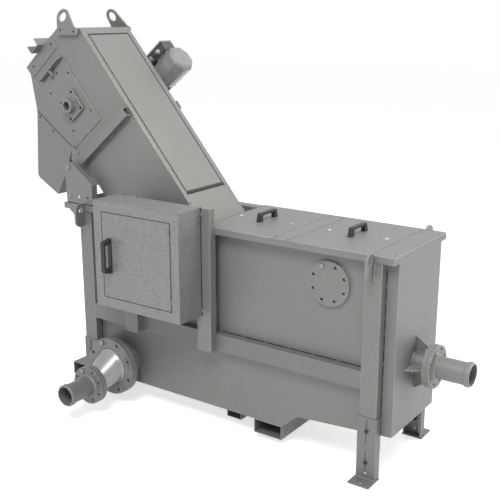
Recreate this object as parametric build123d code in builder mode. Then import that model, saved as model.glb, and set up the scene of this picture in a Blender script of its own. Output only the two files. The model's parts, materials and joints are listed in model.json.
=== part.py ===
from build123d import *
from math import cos, radians, sin
import os

# Tank-mounted inclined bar screen, in millimetres.
# X runs along the tank, Y across it and Z up. The origin is on the floor,
# in the middle of the four feet.

# Fits
touch_gap = 0.3          # between curved faces of different bodies
running_fit = 0.05       # radial, between a shaft and its bore
edge_gap = 4.0           # seam between neighbouring covers
bolt_slack = 1.0         # radial, between a bolt and its hole

# Tank
leg_spacing = 1866.0
tank_width = 486.0
tank_wall = 4.0
right_overhang = 109.0
left_overhang = 83.0
wall_top = 1155.0
tank_depth = 1042.5
ramp_length = 99.0
ramp_rise = 85.5
slope_rise = 40.0
rim_height = 33.0
rim_depth = 56.0
rim_sheet = 3.0
rim_overhang = 79.0

# Covers on the tank
lid_sheet = 3.0
end_strip = 120.4
lid_from_face = 98.0
lid_right_length = 456.6
mid_strip = 93.0
lid_seat = 85.0
screw_inset = 68.0
first_screw_inset = 42.0
stiffener_depth = 22.0
handle_length = 176.0
handle_height = 46.0
handle_width = 24.0
handle_grip = 13.0
handle_corner = 9.0
handle_offset_y = 14.0
handle_from_edge = 236.0
stiffener_width = 34.0
stiffener_from_screw = 60.0
stiffener_clear = 30.0
seat_before = 5.0
seat_after = 18.0
rim_gusset = 34.0
screw_head_radius = 8.0
screw_radius = 4.0

# Legs, feet and rails
leg_width = 90.0
leg_depth = 49.5
channel_wall = 4.0
sleeve_width = 102.0
sleeve_wall = 5.0
sleeve_top = 337.0
leg_bottom = 40.0
slot_width = 13.0
slot_length = 131.0
slot_centres = (94.0, 263.0)
leg_bolt_heights = (97.0, 266.0)
leg_bolt_radius = 6.0
foot_length = 115.0
foot_depth = 117.0
foot_plate = 8.0
foot_reach = 371.0
anchor_radius = 9.0
anchor_y = 344.0
rail_bottom = 476.0
rail_height = 93.0
post_offset = 49.5
post_clearance = 1.0
lug_reach = 80.0
lug_plate = 12.0
lug_height = 139.0
lug_rise = 15.0
lug_hole = 15.0
lug_clear = 1.0

# Fork pockets and floor channel
pocket_width = 175.0
pocket_height = 79.0
pocket_wall = 4.0
pocket_from_tank = (-52.5, 1332.5)
cross_width = 96.0
cross_depth = 68.5
cross_centre = 55.0
cross_half_length = 189.0

# Pipe work
inlet_z = 556.0
inlet_reach = 75.0
inlet_total = 297.0
outlet_from_leg = 215.5
outlet_z = 227.0
outlet_face = 362.0
outlet_tail_end = 727.0
small_pipe = 114.3
small_pipe_wall = 4.0
small_flange = 220.0
small_circle = 180.0
small_plate = 20.0
large_pipe = 219.1
large_pipe_wall = 4.5
large_flange = 340.0
large_circle = 295.0
large_plate = 24.0
reducer_length = 146.0
gasket = 2.0
flange_holes = 8
small_hole = 9.0
large_hole = 11.0
bead_height = 6.0
bead_length = 24.0
bead_from_end = 6.0
bead_round = 4.0
gusset_height = 86.0
gusset_at_flange = 34.0
gusset_plate = 6.0
blank_from_leg = 257.0
blank_z = 964.0
blank_flange_size = 230.0
blank_circle = 185.0
blank_ring_bore = 150.0
blank_thickness = 8.0

# Inclined screen housing. Its own frame starts at the pivot bolt, with S down
# the slope and N square to it, upwards.
incline = 50.0
pivot_beyond_leg = 111.0
pivot_height = 214.0
housing_width = 400.0
housing_wall = 4.0
under_n = 38.0
top_n = 538.0
upper_s = -683.0
end_wall_n = 396.4
face_frame = 30.0
cover_start = -527.0
cover_length = 1099.0
cover_sheet = 6.0
foot_gap = 13.5
foot_reach_x = 197.0
ramp_clear = 300.0

# Chute
chute_start = -642.0
chute_end = -116.0
chute_sheet = 3.0

# Chain, sprockets and shaft
chain_pitch = 80.0
sprocket_teeth = 8
head_s = -287.0
head_n = 194.0
chain_y = 170.0
roller_radius = 10.0
roller_length = 24.0
link_plate = 4.0
link_height = 20.0
link_overlap = 20.0
sprocket_thickness = 18.0
tooth_height = 9.0
shaft_radius = 25.0
shaft_recess = 24.0
hub_radius = 40.0
rake_spacing = 18
first_rake = 4

# Bars and rakes
bar_pitch = 20.0
bar_count = 15
bar_thickness = 5.0
bar_depth = 40.0
bar_top_n = 83.0
bars_start = 542.0
bars_past_foot = 19.0
tooth_side_gap = 1.5
tooth_root_gap = 2.0
rake_tip = 36.5
rake_plate = 8.0
rake_floor_gap = 20.0
tie_width = 30.0
tie_depth = 12.0

# Discharge wiper
wiper_x = -328.0
wiper_z = 420.0
wiper_rod = 10.0
wiper_angle = 19.6
wiper_length = 128.0
wiper_blade_length = 40.0
wiper_sheet = 5.0

# Shaft bearings and take-up
bearing_size = 143.0
bearing_spacing = 111.0
bearing_plate_t = 5.0
bearing_flange = 16.0
bearing_boss = 46.0
bearing_reach = 57.0
takeup_start = -533.0
takeup_end = -96.0
takeup_low = 38.0
takeup_high = 318.0

# Struts and pivot brackets
strut_start = -30.0
strut_end = 23.0
strut_low = -20.0
strut_high = 523.0
strut_depth = 41.0
bracket_y = 297.0
bracket_sheet = 5.0
bracket_return = 45.0
bracket_width = 202.0
bracket_shoulder = 124.0
bracket_lift = 8.0
bracket_hole = 8.0
bracket_hole_z = 46.0
pivot_bolt = 8.0
pivot_eye = 32.0
bush_radius = 18.0

# Drive
gearbox_offset = 50.0
gearbox_width = 146.0
gearbox_case = 150.0
gearbox_corner = 24.0
adapter_start = 70.0
motor_flange_extra = 10.0
motor_flange_t = 12.0
fin_count = 16
motor_radius = 70.0
motor_start = 279.0
fan_start = 478.0
fan_end = 668.0
fan_radius = 81.5
terminal_length = 172.0
terminal_depth = 54.0
terminal_width = 96.0
terminal_low = 450.0

# Control cabinet
cabinet_from_leg = 301.0
cabinet_width = 589.0
cabinet_depth = 183.0
cabinet_bottom = 678.0
cabinet_height = 592.0
cabinet_sheet = 3.0
door_margin = 60.0
door_gap = 3.0
door_radius = 4.0
door_depth = 16.0
door_sheet = 3.0
hinge_radius = 3.0
hinge_leaf = 16.0
hinge_length = 60.0
door_handle_length = 194.0
door_handle_height = 60.0
door_handle_inset = 53.0
door_handle_z = 975.0
handle_base_sheet = 7.0

# Derived places
leg_x = leg_spacing / 2
tank_left = -leg_x - left_overhang
tank_right = leg_x + right_overhang
half_width = tank_width / 2
rim_top = wall_top + rim_sheet
rim_bottom = rim_top - rim_height
rim_y = half_width + rim_depth
rim_left = tank_left - rim_overhang
floor_under = wall_top - tank_depth
floor_top = floor_under + tank_wall
lid_top = rim_top + lid_sheet
leg_back = half_width + leg_depth
pivot_x = -leg_x - pivot_beyond_leg
pivot_z = rim_top + pivot_height
half_housing = housing_width / 2
inner_housing = half_housing - housing_wall
slope = radians(incline)
down = (cos(slope), 0, -sin(slope))
outwards = (sin(slope), 0, cos(slope))
pitch_radius = chain_pitch / 2 / sin(radians(180 / sprocket_teeth))
tip_radius = pitch_radius + rake_tip
crown_height = end_wall_n * cos(slope) - upper_s * sin(slope)


def on_slope(s, n):
    """X and Z of a point of the inclined frame."""
    return (
        pivot_x + s * cos(slope) + n * sin(slope),
        pivot_z - s * sin(slope) + n * cos(slope),
    )


lowest_foot_s = (pivot_z + head_n * cos(slope) - floor_top - rake_floor_gap - tip_radius) / sin(slope)
run_pitches = int((lowest_foot_s - head_s) // chain_pitch)
foot_s = head_s + run_pitches * chain_pitch
foot_x, foot_z = on_slope(foot_s, head_n)
ramp_start = foot_x + ramp_clear
face_x = on_slope((pivot_z + top_n * cos(slope) - lid_top) / sin(slope), top_n)[0]
lid_left_start = face_x + lid_from_face
end_strip_start = tank_right - end_strip
lid_right_start = end_strip_start - lid_right_length
mid_strip_start = lid_right_start - mid_strip
lid_left_length = mid_strip_start - lid_left_start

side = Plane.XZ
slope_side = Plane(origin=(pivot_x, 0, pivot_z), x_dir=down, z_dir=(0, -1, 0))
slope_face = Plane(origin=(pivot_x, 0, pivot_z), x_dir=down, z_dir=outwards)
slope_end = Plane(origin=(pivot_x, 0, pivot_z), x_dir=(0, 1, 0), z_dir=down)

os.makedirs("parts", exist_ok=True)


def save(name, label):
    """Label a finished piece and write its STEP file."""
    name.label = label
    export_step(name, f"parts/{label}.step")


def prism(plane, corners, amount, both=False, mode=Mode.ADD):
    """A plate or block with a straight-sided outline."""
    with BuildSketch(plane) as profile:
        with BuildLine():
            Polyline(*corners, close=True)
        make_face()
    extrude(profile.sketch, amount=amount, both=both, mode=mode)


def block(low, high, mode=Mode.ADD):
    """A box between two opposite corners."""
    middle = tuple((a + b) / 2 for a, b in zip(low, high))
    size = [b - a for a, b in zip(low, high)]
    with Locations(middle):
        Box(*size, mode=mode)


def channel(start, along, open_to, length, width, depth, sheet):
    """A folded channel; start is the middle of the back of its web."""
    plane = Plane(origin=start, x_dir=Vector(*open_to).cross(Vector(*along)), z_dir=along)
    with BuildSketch(plane) as profile:
        Rectangle(width, depth, align=(Align.CENTER, Align.MIN))
        with Locations((0, sheet)):
            Rectangle(width - 2 * sheet, depth, align=(Align.CENTER, Align.MIN), mode=Mode.SUBTRACT)
    extrude(profile.sketch, amount=length)


def inset_outline(corners, insets):
    """Shift each side of an anticlockwise outline inwards by its own amount."""
    shifted = []
    count = len(corners)
    for i in range(count):
        before = Vector(*corners[i - 1])
        here = Vector(*corners[i])
        after = Vector(*corners[(i + 1) % count])
        d1 = (here - before).normalized()
        d2 = (after - here).normalized()
        p1 = here + Vector(-d1.Y, d1.X) * insets[i - 1]
        p2 = here + Vector(-d2.Y, d2.X) * insets[i]
        t = ((p2.X - p1.X) * d2.Y - (p2.Y - p1.Y) * d2.X) / (d1.X * d2.Y - d1.Y * d2.X)
        corner = p1 + d1 * t
        shifted.append((corner.X, corner.Y))
    return shifted


def bolt(plane, places, head_radius, head_height, shank_radius, shank_length, nut=False):
    """Hexagon bolts with the head standing on the plane and the shank below it."""
    with BuildSketch(plane) as heads:
        with Locations(*places):
            RegularPolygon(head_radius, 6)
    extrude(heads.sketch, amount=head_height)
    with BuildSketch(plane) as shanks:
        with Locations(*places):
            Circle(shank_radius)
    extrude(shanks.sketch, amount=-shank_length)
    if nut:
        with BuildSketch(plane.offset(-shank_length)) as nuts:
            with Locations(*places):
                RegularPolygon(head_radius, 6)
        extrude(nuts.sketch, amount=head_height)


# Tank: folded floor with a ramp down to the sump, upright walls all round
tank_outline = [
    (tank_left, wall_top),
    (tank_left, floor_under),
    (ramp_start, floor_under),
    (ramp_start + ramp_length, floor_under + ramp_rise),
    (tank_right, floor_under + ramp_rise + slope_rise),
    (tank_right, wall_top),
]
tank_insets = [tank_wall, tank_wall, tank_wall, tank_wall, tank_wall, -tank_wall]
outlet_x = -leg_x + outlet_from_leg
blank_x = leg_x - blank_from_leg
with BuildPart() as tank_shell:
    prism(side, tank_outline, half_width, both=True)
    prism(
        side,
        inset_outline(tank_outline, tank_insets),
        half_width - tank_wall,
        both=True,
        mode=Mode.SUBTRACT,
    )
    block(
        (tank_right - tank_wall, -rim_y, rim_bottom),
        (tank_right, rim_y, rim_top),
    )
    with BuildSketch(Plane.YZ.offset(tank_right - 2 * tank_wall)) as inlet_hole:
        with Locations((0, inlet_z)):
            Circle(small_pipe / 2 - small_pipe_wall)
    extrude(inlet_hole.sketch, amount=3 * tank_wall, mode=Mode.SUBTRACT)
    with BuildSketch(side.offset(half_width - 2 * tank_wall)) as wall_holes:
        with Locations((outlet_x, outlet_z)):
            Circle(large_pipe / 2 - large_pipe_wall)
        with Locations((blank_x, blank_z)):
            Circle(blank_ring_bore / 2)
    extrude(wall_holes.sketch, amount=3 * tank_wall, mode=Mode.SUBTRACT)
    with BuildSketch(side.offset(half_width)) as pad:
        with Locations((blank_x, blank_z)):
            Circle(blank_flange_size / 2)
            Circle(blank_ring_bore / 2, mode=Mode.SUBTRACT)
            with PolarLocations(blank_circle / 2, flange_holes, start_angle=22.5):
                Circle(small_hole, mode=Mode.SUBTRACT)
    extrude(pad.sketch, amount=blank_thickness)
save(tank_shell.part, "tank_shell")

# Rim: a channel round the top of the wall, with cross plates under the lids
screw_places = [
    (lid_left_start + first_screw_inset, 0),
    (mid_strip_start - screw_inset, 0),
    (lid_right_start + screw_inset - 4.0, 0),
    (end_strip_start - screw_inset, 0),
]
with BuildPart() as tank_rim:
    with BuildSketch(Plane.XY.offset(wall_top)) as rim_flange:
        with BuildLine():
            Polyline(
                (rim_left, -rim_y),
                (tank_right - tank_wall, -rim_y),
                (tank_right - tank_wall, rim_y),
                (rim_left, rim_y),
                close=True,
            )
        make_face()
        with BuildLine():
            Polyline(
                (tank_left + tank_wall, -half_width + tank_wall),
                (tank_right - tank_wall, -half_width + tank_wall),
                (tank_right - tank_wall, half_width - tank_wall),
                (tank_left + tank_wall, half_width - tank_wall),
                close=True,
            )
        make_face(mode=Mode.SUBTRACT)
    extrude(rim_flange.sketch, amount=rim_sheet)
    for near, far in (
        (lid_left_start - seat_before, lid_left_start + first_screw_inset + seat_after),
        (mid_strip_start - lid_seat, lid_right_start + lid_seat),
        (end_strip_start - lid_seat, tank_right - tank_wall),
    ):
        block((near, -half_width, wall_top), (far, half_width, rim_top))
    for turn in (-1, 1):
        y_web, y_wall = sorted((turn * (rim_y - rim_sheet), turn * rim_y))
        block((rim_left, y_web, rim_bottom), (tank_right - tank_wall, y_wall, wall_top))
        y_in, y_out = sorted((turn * half_width, turn * rim_y))
        block(
            (rim_left, y_in, rim_bottom),
            (tank_right - tank_wall, y_out, rim_bottom + rim_sheet),
        )
    block((rim_left, -rim_y, rim_bottom), (rim_left + rim_sheet, rim_y, wall_top))
    block((rim_left, -half_width, rim_bottom), (tank_left, half_width, rim_bottom + rim_sheet))
    with BuildSketch(Plane.XY.offset(wall_top)) as screw_holes:
        with Locations(*screw_places):
            Circle(screw_radius + bolt_slack)
    extrude(screw_holes.sketch, amount=rim_sheet, mode=Mode.SUBTRACT)
    prism(
        side.offset(rim_y - rim_sheet),
        [
            (rim_left + 40.0, rim_bottom),
            (tank_left + 2.0, rim_bottom - rim_gusset),
            (tank_left + 2.0, rim_bottom),
        ],
        rim_sheet,
    )
save(tank_rim.part, "tank_rim")


def lid(start, length, screws):
    """A flat lid with two folded stiffeners below and holes for its screws."""
    with BuildPart() as cover:
        block((start + edge_gap / 2, -rim_y, rim_top), (start + length - edge_gap / 2, rim_y, lid_top))
        inner = [x for x, y in screws]
        for x in (inner[0] + stiffener_from_screw, inner[-1] - stiffener_from_screw):
            channel(
                (x, -half_width + stiffener_clear, rim_top - stiffener_depth),
                (0, 1, 0),
                (0, 0, 1),
                tank_width - 2 * stiffener_clear,
                stiffener_width,
                stiffener_depth,
                lid_sheet,
            )
        with BuildSketch(Plane.XY.offset(rim_top)) as holes:
            with Locations(*screws):
                Circle(screw_radius + bolt_slack / 2)
        extrude(holes.sketch, amount=lid_sheet, mode=Mode.SUBTRACT)
    return cover.part


def lid_screws(screws):
    """Captive round-headed screws that hold a lid down."""
    with BuildPart() as group:
        with BuildSketch(Plane.XY.offset(lid_top)) as heads:
            with Locations(*screws):
                Circle(screw_head_radius)
        extrude(heads.sketch, amount=3.0, taper=20)
        with BuildSketch(Plane.XY.offset(lid_top)) as shanks:
            with Locations(*screws):
                Circle(screw_radius)
        extrude(shanks.sketch, amount=-14.0)
    return group.part


def bridge_handle(plane, length, height):
    """A moulded bridge handle, drawn in its own side view and standing on Y = 0."""
    half = length / 2
    with BuildPart() as grip:
        with BuildSketch(plane) as outer:
            with BuildLine():
                Polyline(
                    (-half, 0),
                    (-half + 12.0, height),
                    (half - 12.0, height),
                    (half, 0),
                    close=True,
                )
            make_face()
            fillet(outer.vertices().sort_by(Axis.Y)[-2:], handle_corner)
        extrude(outer.sketch, amount=handle_width / 2, both=True)
        prism(
            plane,
            [
                (-half + 30.0, -1.0),
                (-half + 34.0, height - handle_grip),
                (half - 34.0, height - handle_grip),
                (half - 30.0, -1.0),
            ],
            handle_width,
            both=True,
            mode=Mode.SUBTRACT,
        )
    return grip.part


handle_left_x = mid_strip_start - handle_from_edge
handle_right_x = end_strip_start - handle_from_edge
save(lid(lid_left_start, lid_left_length, screw_places[:2]), "lid_left")
save(lid(lid_right_start, lid_right_length, screw_places[2:]), "lid_right")
save(lid_screws(screw_places[:2]), "lid_screws_left")
save(lid_screws(screw_places[2:]), "lid_screws_right")
for place, label in ((handle_left_x, "lid_handle_left"), (handle_right_x, "lid_handle_right")):
    handle_plane = Plane(origin=(place, handle_offset_y, lid_top), x_dir=(0, 1, 0), z_dir=(1, 0, 0))
    save(bridge_handle(handle_plane, handle_length, handle_height), label)

with BuildPart() as cover_strips:
    block(
        (mid_strip_start + edge_gap / 2, -rim_y, rim_top),
        (lid_right_start - edge_gap / 2, rim_y, lid_top),
    )
    block(
        (end_strip_start + edge_gap / 2, -rim_y, rim_top),
        (tank_right, rim_y, lid_top),
    )
save(cover_strips.part, "cover_strips")

# Legs, the slotted sleeves that set their height, and their bolts
for x, x_name in ((-leg_x, "left"), (leg_x, "right")):
    with BuildPart() as leg:
        channel(
            (x, -leg_back, leg_bottom),
            (0, 0, 1),
            (0, 1, 0),
            rim_bottom - leg_bottom,
            leg_width,
            leg_depth,
            channel_wall,
        )
        with BuildSketch(side.offset(leg_back)) as leg_holes:
            with Locations(*[(x, z) for z in leg_bolt_heights]):
                Circle(leg_bolt_radius + bolt_slack)
        extrude(leg_holes.sketch, amount=-channel_wall, mode=Mode.SUBTRACT)
    save(leg.part, f"leg_front_{x_name}")
    save(mirror(leg.part, about=side), f"leg_back_{x_name}")
with BuildPart() as feet:
    for x in (-leg_x, leg_x):
        channel(
            (x, -leg_back - sleeve_wall, foot_plate),
            (0, 0, 1),
            (0, 1, 0),
            sleeve_top - foot_plate,
            sleeve_width,
            leg_depth,
            sleeve_wall,
        )
        block(
            (x - foot_length / 2, -foot_reach, 0),
            (x + foot_length / 2, -foot_reach + foot_depth, foot_plate),
        )
    with BuildSketch(side.offset(leg_back)) as slots:
        with Locations(*[(x, z) for x in (-leg_x, leg_x) for z in slot_centres]):
            SlotOverall(slot_length, slot_width, rotation=90)
    extrude(slots.sketch, amount=sleeve_wall, mode=Mode.SUBTRACT)
    with BuildSketch(Plane.XY) as anchors:
        with Locations((-leg_x, -anchor_y), (leg_x, -anchor_y)):
            Circle(anchor_radius)
    extrude(anchors.sketch, amount=foot_plate, mode=Mode.SUBTRACT)
    mirror(about=side)
save(feet.part, "feet")

with BuildPart() as leg_bolts:
    bolt(
        side.offset(leg_back + sleeve_wall),
        [(x, z) for x in (-leg_x, leg_x) for z in leg_bolt_heights],
        11.0,
        7.5,
        leg_bolt_radius,
        sleeve_wall + channel_wall + 12.0,
        nut=True,
    )
    mirror(about=side)
save(leg_bolts.part, "leg_bolts")

# Lifting lugs on the legs, upright plates notched round the rim
lug_eye_y = leg_back + lug_reach / 2
lug_eye_z = lid_top + lug_rise - lug_reach / 2
with BuildPart() as tank_lugs:
    for x in (-leg_x, leg_x):
        with BuildSketch(Plane.YZ.offset(x - lug_plate / 2)) as lug:
            with Locations((-lug_eye_y, lid_top + lug_rise - lug_height / 2)):
                SlotOverall(lug_height, lug_reach, rotation=90)
            with Locations((-rim_y - lug_clear, rim_bottom - lug_clear)):
                Rectangle(lug_reach, lug_height, align=Align.MIN, mode=Mode.SUBTRACT)
            with Locations((-lug_eye_y, lug_eye_z)):
                Circle(lug_hole, mode=Mode.SUBTRACT)
        extrude(lug.sketch, amount=lug_plate)
    mirror(about=side)
save(tank_lugs.part, "tank_lugs")

# Rails between the legs, and the two posts that carry the cabinet
with BuildPart() as side_rails:
    channel(
        (-leg_x + leg_width / 2, -leg_back, rail_bottom + rail_height / 2),
        (1, 0, 0),
        (0, 1, 0),
        leg_spacing - leg_width,
        rail_height,
        leg_depth,
        channel_wall,
    )
    mirror(about=side)
save(side_rails.part, "side_rails")

cabinet_left = -leg_x + cabinet_from_leg
cabinet_right = cabinet_left + cabinet_width
cabinet_top = cabinet_bottom + cabinet_height
cabinet_back = leg_back + post_offset
cabinet_front = cabinet_back + cabinet_depth
post_left_x = cabinet_left + 77.0
post_right_x = cabinet_right + 14.0
with BuildPart() as cabinet_posts:
    for x, top in ((post_left_x, cabinet_top), (post_right_x, cabinet_top - 4.0)):
        channel(
            (x, -cabinet_back, rail_bottom),
            (0, 0, 1),
            (0, 1, 0),
            top - rail_bottom,
            leg_width,
            post_offset,
            channel_wall,
        )
    block(
        (cabinet_left, -rim_y - post_clearance, rim_bottom - post_clearance),
        (cabinet_right + leg_width, -leg_back, cabinet_top),
        mode=Mode.SUBTRACT,
    )
save(cabinet_posts.part, "cabinet_posts")

# Fork pockets and the open channel under the floor
with BuildPart() as fork_pockets:
    for x in [tank_left + along for along in pocket_from_tank]:
        block(
            (x - pocket_width / 2, -half_width, floor_under - pocket_height),
            (x + pocket_width / 2, half_width, floor_under),
        )
        block(
            (x - pocket_width / 2 + pocket_wall, -half_width, floor_under - pocket_height + pocket_wall),
            (x + pocket_width / 2 - pocket_wall, half_width, floor_under - pocket_wall),
            mode=Mode.SUBTRACT,
        )
save(fork_pockets.part, "fork_pockets")

with BuildPart() as cross_channel:
    channel(
        (cross_centre, -cross_half_length, floor_under - cross_depth),
        (0, 1, 0),
        (0, 0, 1),
        2 * cross_half_length,
        cross_width,
        cross_depth,
        channel_wall,
    )
save(cross_channel.part, "cross_channel")


# Pipe work
def flange(plane, outside, bore, circle, hole, thickness):
    """A flat ring flange with its bolt holes straddling the centre lines."""
    with BuildSketch(plane) as ring:
        Circle(outside / 2)
        Circle(bore / 2, mode=Mode.SUBTRACT)
        with PolarLocations(circle / 2, flange_holes, start_angle=180 / flange_holes):
            Circle(hole, mode=Mode.SUBTRACT)
    extrude(ring.sketch, amount=thickness)


def pipe(plane, outside, wall, length):
    """A straight pipe standing on the plane."""
    with BuildSketch(plane) as ring:
        Circle(outside / 2)
        Circle(outside / 2 - wall, mode=Mode.SUBTRACT)
    extrude(ring.sketch, amount=length)


def hose_tail(plane, length):
    """A flange with a pipe end and a raised bead that holds a hose."""
    small_bore = small_pipe - 2 * small_pipe_wall
    with BuildPart() as tail:
        flange(plane, small_flange, small_bore, small_circle, small_hole, small_plate)
        pipe(plane.offset(small_plate), small_pipe, small_pipe_wall, length - small_plate)
        bead_outer = small_pipe / 2 + bead_height
        with BuildSketch(plane.offset(length - bead_from_end - bead_length)) as bead:
            Circle(bead_outer)
            Circle(small_bore / 2, mode=Mode.SUBTRACT)
        extrude(bead.sketch, amount=bead_length)
        circles = tail.edges().filter_by(GeomType.CIRCLE)
        fillet([edge for edge in circles if abs(edge.radius - bead_outer) < 0.01], bead_round)
        with BuildSketch(plane.offset(small_plate)) as weld:
            Circle(small_pipe / 2 + 7.0)
            Circle(small_bore / 2, mode=Mode.SUBTRACT)
        extrude(weld.sketch, amount=7.0, taper=40)
    return tail.part


inlet_plane = Plane(origin=(tank_right, 0, inlet_z), x_dir=(0, 1, 0), z_dir=(1, 0, 0))
small_bore = small_pipe - 2 * small_pipe_wall
with BuildPart() as inlet_stub:
    pipe(inlet_plane, small_pipe, small_pipe_wall, inlet_reach)
    flange(inlet_plane.offset(inlet_reach), small_flange, small_bore, small_circle, small_hole, small_plate)
    for turn in (0, 90, 180, 270):
        gusset_plane = Plane(
            origin=(tank_right, 0, inlet_z),
            x_dir=(1, 0, 0),
            z_dir=(0, -sin(radians(turn)), cos(radians(turn))),
        )
        reach = small_pipe / 2 - small_pipe_wall / 2
        prism(
            gusset_plane,
            [
                (0, reach),
                (inlet_reach, reach),
                (inlet_reach, reach + gusset_at_flange),
                (0, reach + gusset_height),
            ],
            gusset_plate / 2,
            both=True,
        )
save(inlet_stub.part, "inlet_stub")

inlet_tail_plane = inlet_plane.offset(inlet_reach + small_plate + gasket)
inlet_tail_length = inlet_total - inlet_reach - small_plate - gasket
save(hose_tail(inlet_tail_plane, inlet_tail_length), "inlet_tail")

outlet_plane = Plane(origin=(outlet_x, -half_width, outlet_z), x_dir=(1, 0, 0), z_dir=(0, -1, 0))
stub_reach = outlet_face - half_width - large_plate - gasket
large_bore = large_pipe - 2 * large_pipe_wall
with BuildPart() as outlet_stub:
    pipe(outlet_plane, large_pipe, large_pipe_wall, stub_reach)
    flange(
        outlet_plane.offset(stub_reach - large_plate),
        large_flange,
        large_bore,
        large_circle,
        large_hole,
        large_plate,
    )
save(outlet_stub.part, "outlet_stub")

# Flat-bottomed eccentric reducer between the two flange sizes
drop = (large_pipe - small_pipe) / 2
reducer_plane = outlet_plane.offset(stub_reach + gasket)
cone_start = reducer_plane.offset(large_plate)
cone_end = reducer_plane.offset(large_plate + reducer_length)
small_z = outlet_z - drop
with BuildPart() as outlet_reducer:
    flange(reducer_plane, large_flange, large_bore, large_circle, large_hole, large_plate)
    with BuildSketch(cone_start) as wide_end:
        Circle(large_pipe / 2)
    with BuildSketch(cone_end) as narrow_end:
        with Locations((0, -drop)):
            Circle(small_pipe / 2)
    loft([wide_end.sketch, narrow_end.sketch])
    with BuildSketch(cone_end) as small_ring:
        with Locations((0, -drop)):
            Circle(small_flange / 2)
            with PolarLocations(small_circle / 2, flange_holes, start_angle=180 / flange_holes):
                Circle(small_hole, mode=Mode.SUBTRACT)
    extrude(small_ring.sketch, amount=small_plate)
    with BuildSketch(cone_start) as wide_bore:
        Circle(large_bore / 2)
    with BuildSketch(cone_end) as narrow_bore:
        with Locations((0, -drop)):
            Circle(small_bore / 2)
    loft([wide_bore.sketch, narrow_bore.sketch], mode=Mode.SUBTRACT)
    extrude(narrow_bore.sketch, amount=small_plate, mode=Mode.SUBTRACT)
save(outlet_reducer.part, "outlet_reducer")

tail_face = half_width + stub_reach + large_plate + reducer_length + small_plate + 2 * gasket
outlet_tail_plane = Plane(
    origin=(outlet_x, -tail_face, small_z),
    x_dir=(1, 0, 0),
    z_dir=(0, -1, 0),
)
outlet_tail_length = outlet_tail_end - tail_face
save(hose_tail(outlet_tail_plane, outlet_tail_length), "outlet_tail")

with BuildPart() as flange_gaskets:
    for plane, circle, hole, bore in (
        (inlet_plane.offset(inlet_reach + small_plate), small_circle, small_hole, small_bore),
        (outlet_plane.offset(stub_reach), large_circle, large_hole, large_bore),
        (outlet_tail_plane.offset(-gasket), small_circle, small_hole, small_bore),
    ):
        with BuildSketch(plane) as ring:
            Circle(circle / 2 - hole - 1.0)
            Circle(bore / 2, mode=Mode.SUBTRACT)
        extrude(ring.sketch, amount=gasket)
save(flange_gaskets.part, "flange_gaskets")

with BuildPart() as blank_flange:
    with BuildSketch(side.offset(half_width + blank_thickness)) as disc:
        with Locations((blank_x, blank_z)):
            Circle(blank_flange_size / 2)
            with PolarLocations(blank_circle / 2, flange_holes, start_angle=22.5):
                Circle(small_hole, mode=Mode.SUBTRACT)
    extrude(disc.sketch, amount=blank_thickness)
save(blank_flange.part, "blank_flange")


def polar(circle, angle):
    """A place on a bolt circle."""
    return (circle / 2 * cos(radians(angle)), circle / 2 * sin(radians(angle)))


# One bolt is fitted to each joint, as on the machine when it is delivered
with BuildPart() as flange_bolts:
    small_grip = 2 * small_plate + gasket
    bolt(
        inlet_tail_plane.offset(small_plate),
        [polar(small_circle, 112.5)],
        13.0,
        10.0,
        8.0,
        small_grip + 10.0,
        nut=True,
    )
    bolt(
        reducer_plane.offset(large_plate),
        [polar(large_circle, 112.5)],
        16.0,
        12.5,
        10.0,
        2 * large_plate + gasket + 12.5,
        nut=True,
    )
    bolt(
        outlet_tail_plane.offset(small_plate),
        [polar(small_circle, 112.5)],
        13.0,
        10.0,
        8.0,
        small_grip + 10.0,
        nut=True,
    )
    bolt(
        Plane(
            origin=(blank_x, -half_width - 2 * blank_thickness, blank_z),
            x_dir=(1, 0, 0),
            z_dir=(0, -1, 0),
        ),
        [polar(blank_circle, 112.5)],
        13.0,
        8.0,
        8.0,
        2 * blank_thickness,
    )
save(flange_bolts.part, "flange_bolts")


# Screen housing
def to_slope(x, z):
    """Position in the inclined frame of a point given beside the pivot bolt."""
    return (x * cos(slope) - z * sin(slope), x * sin(slope) + z * cos(slope))


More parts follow.
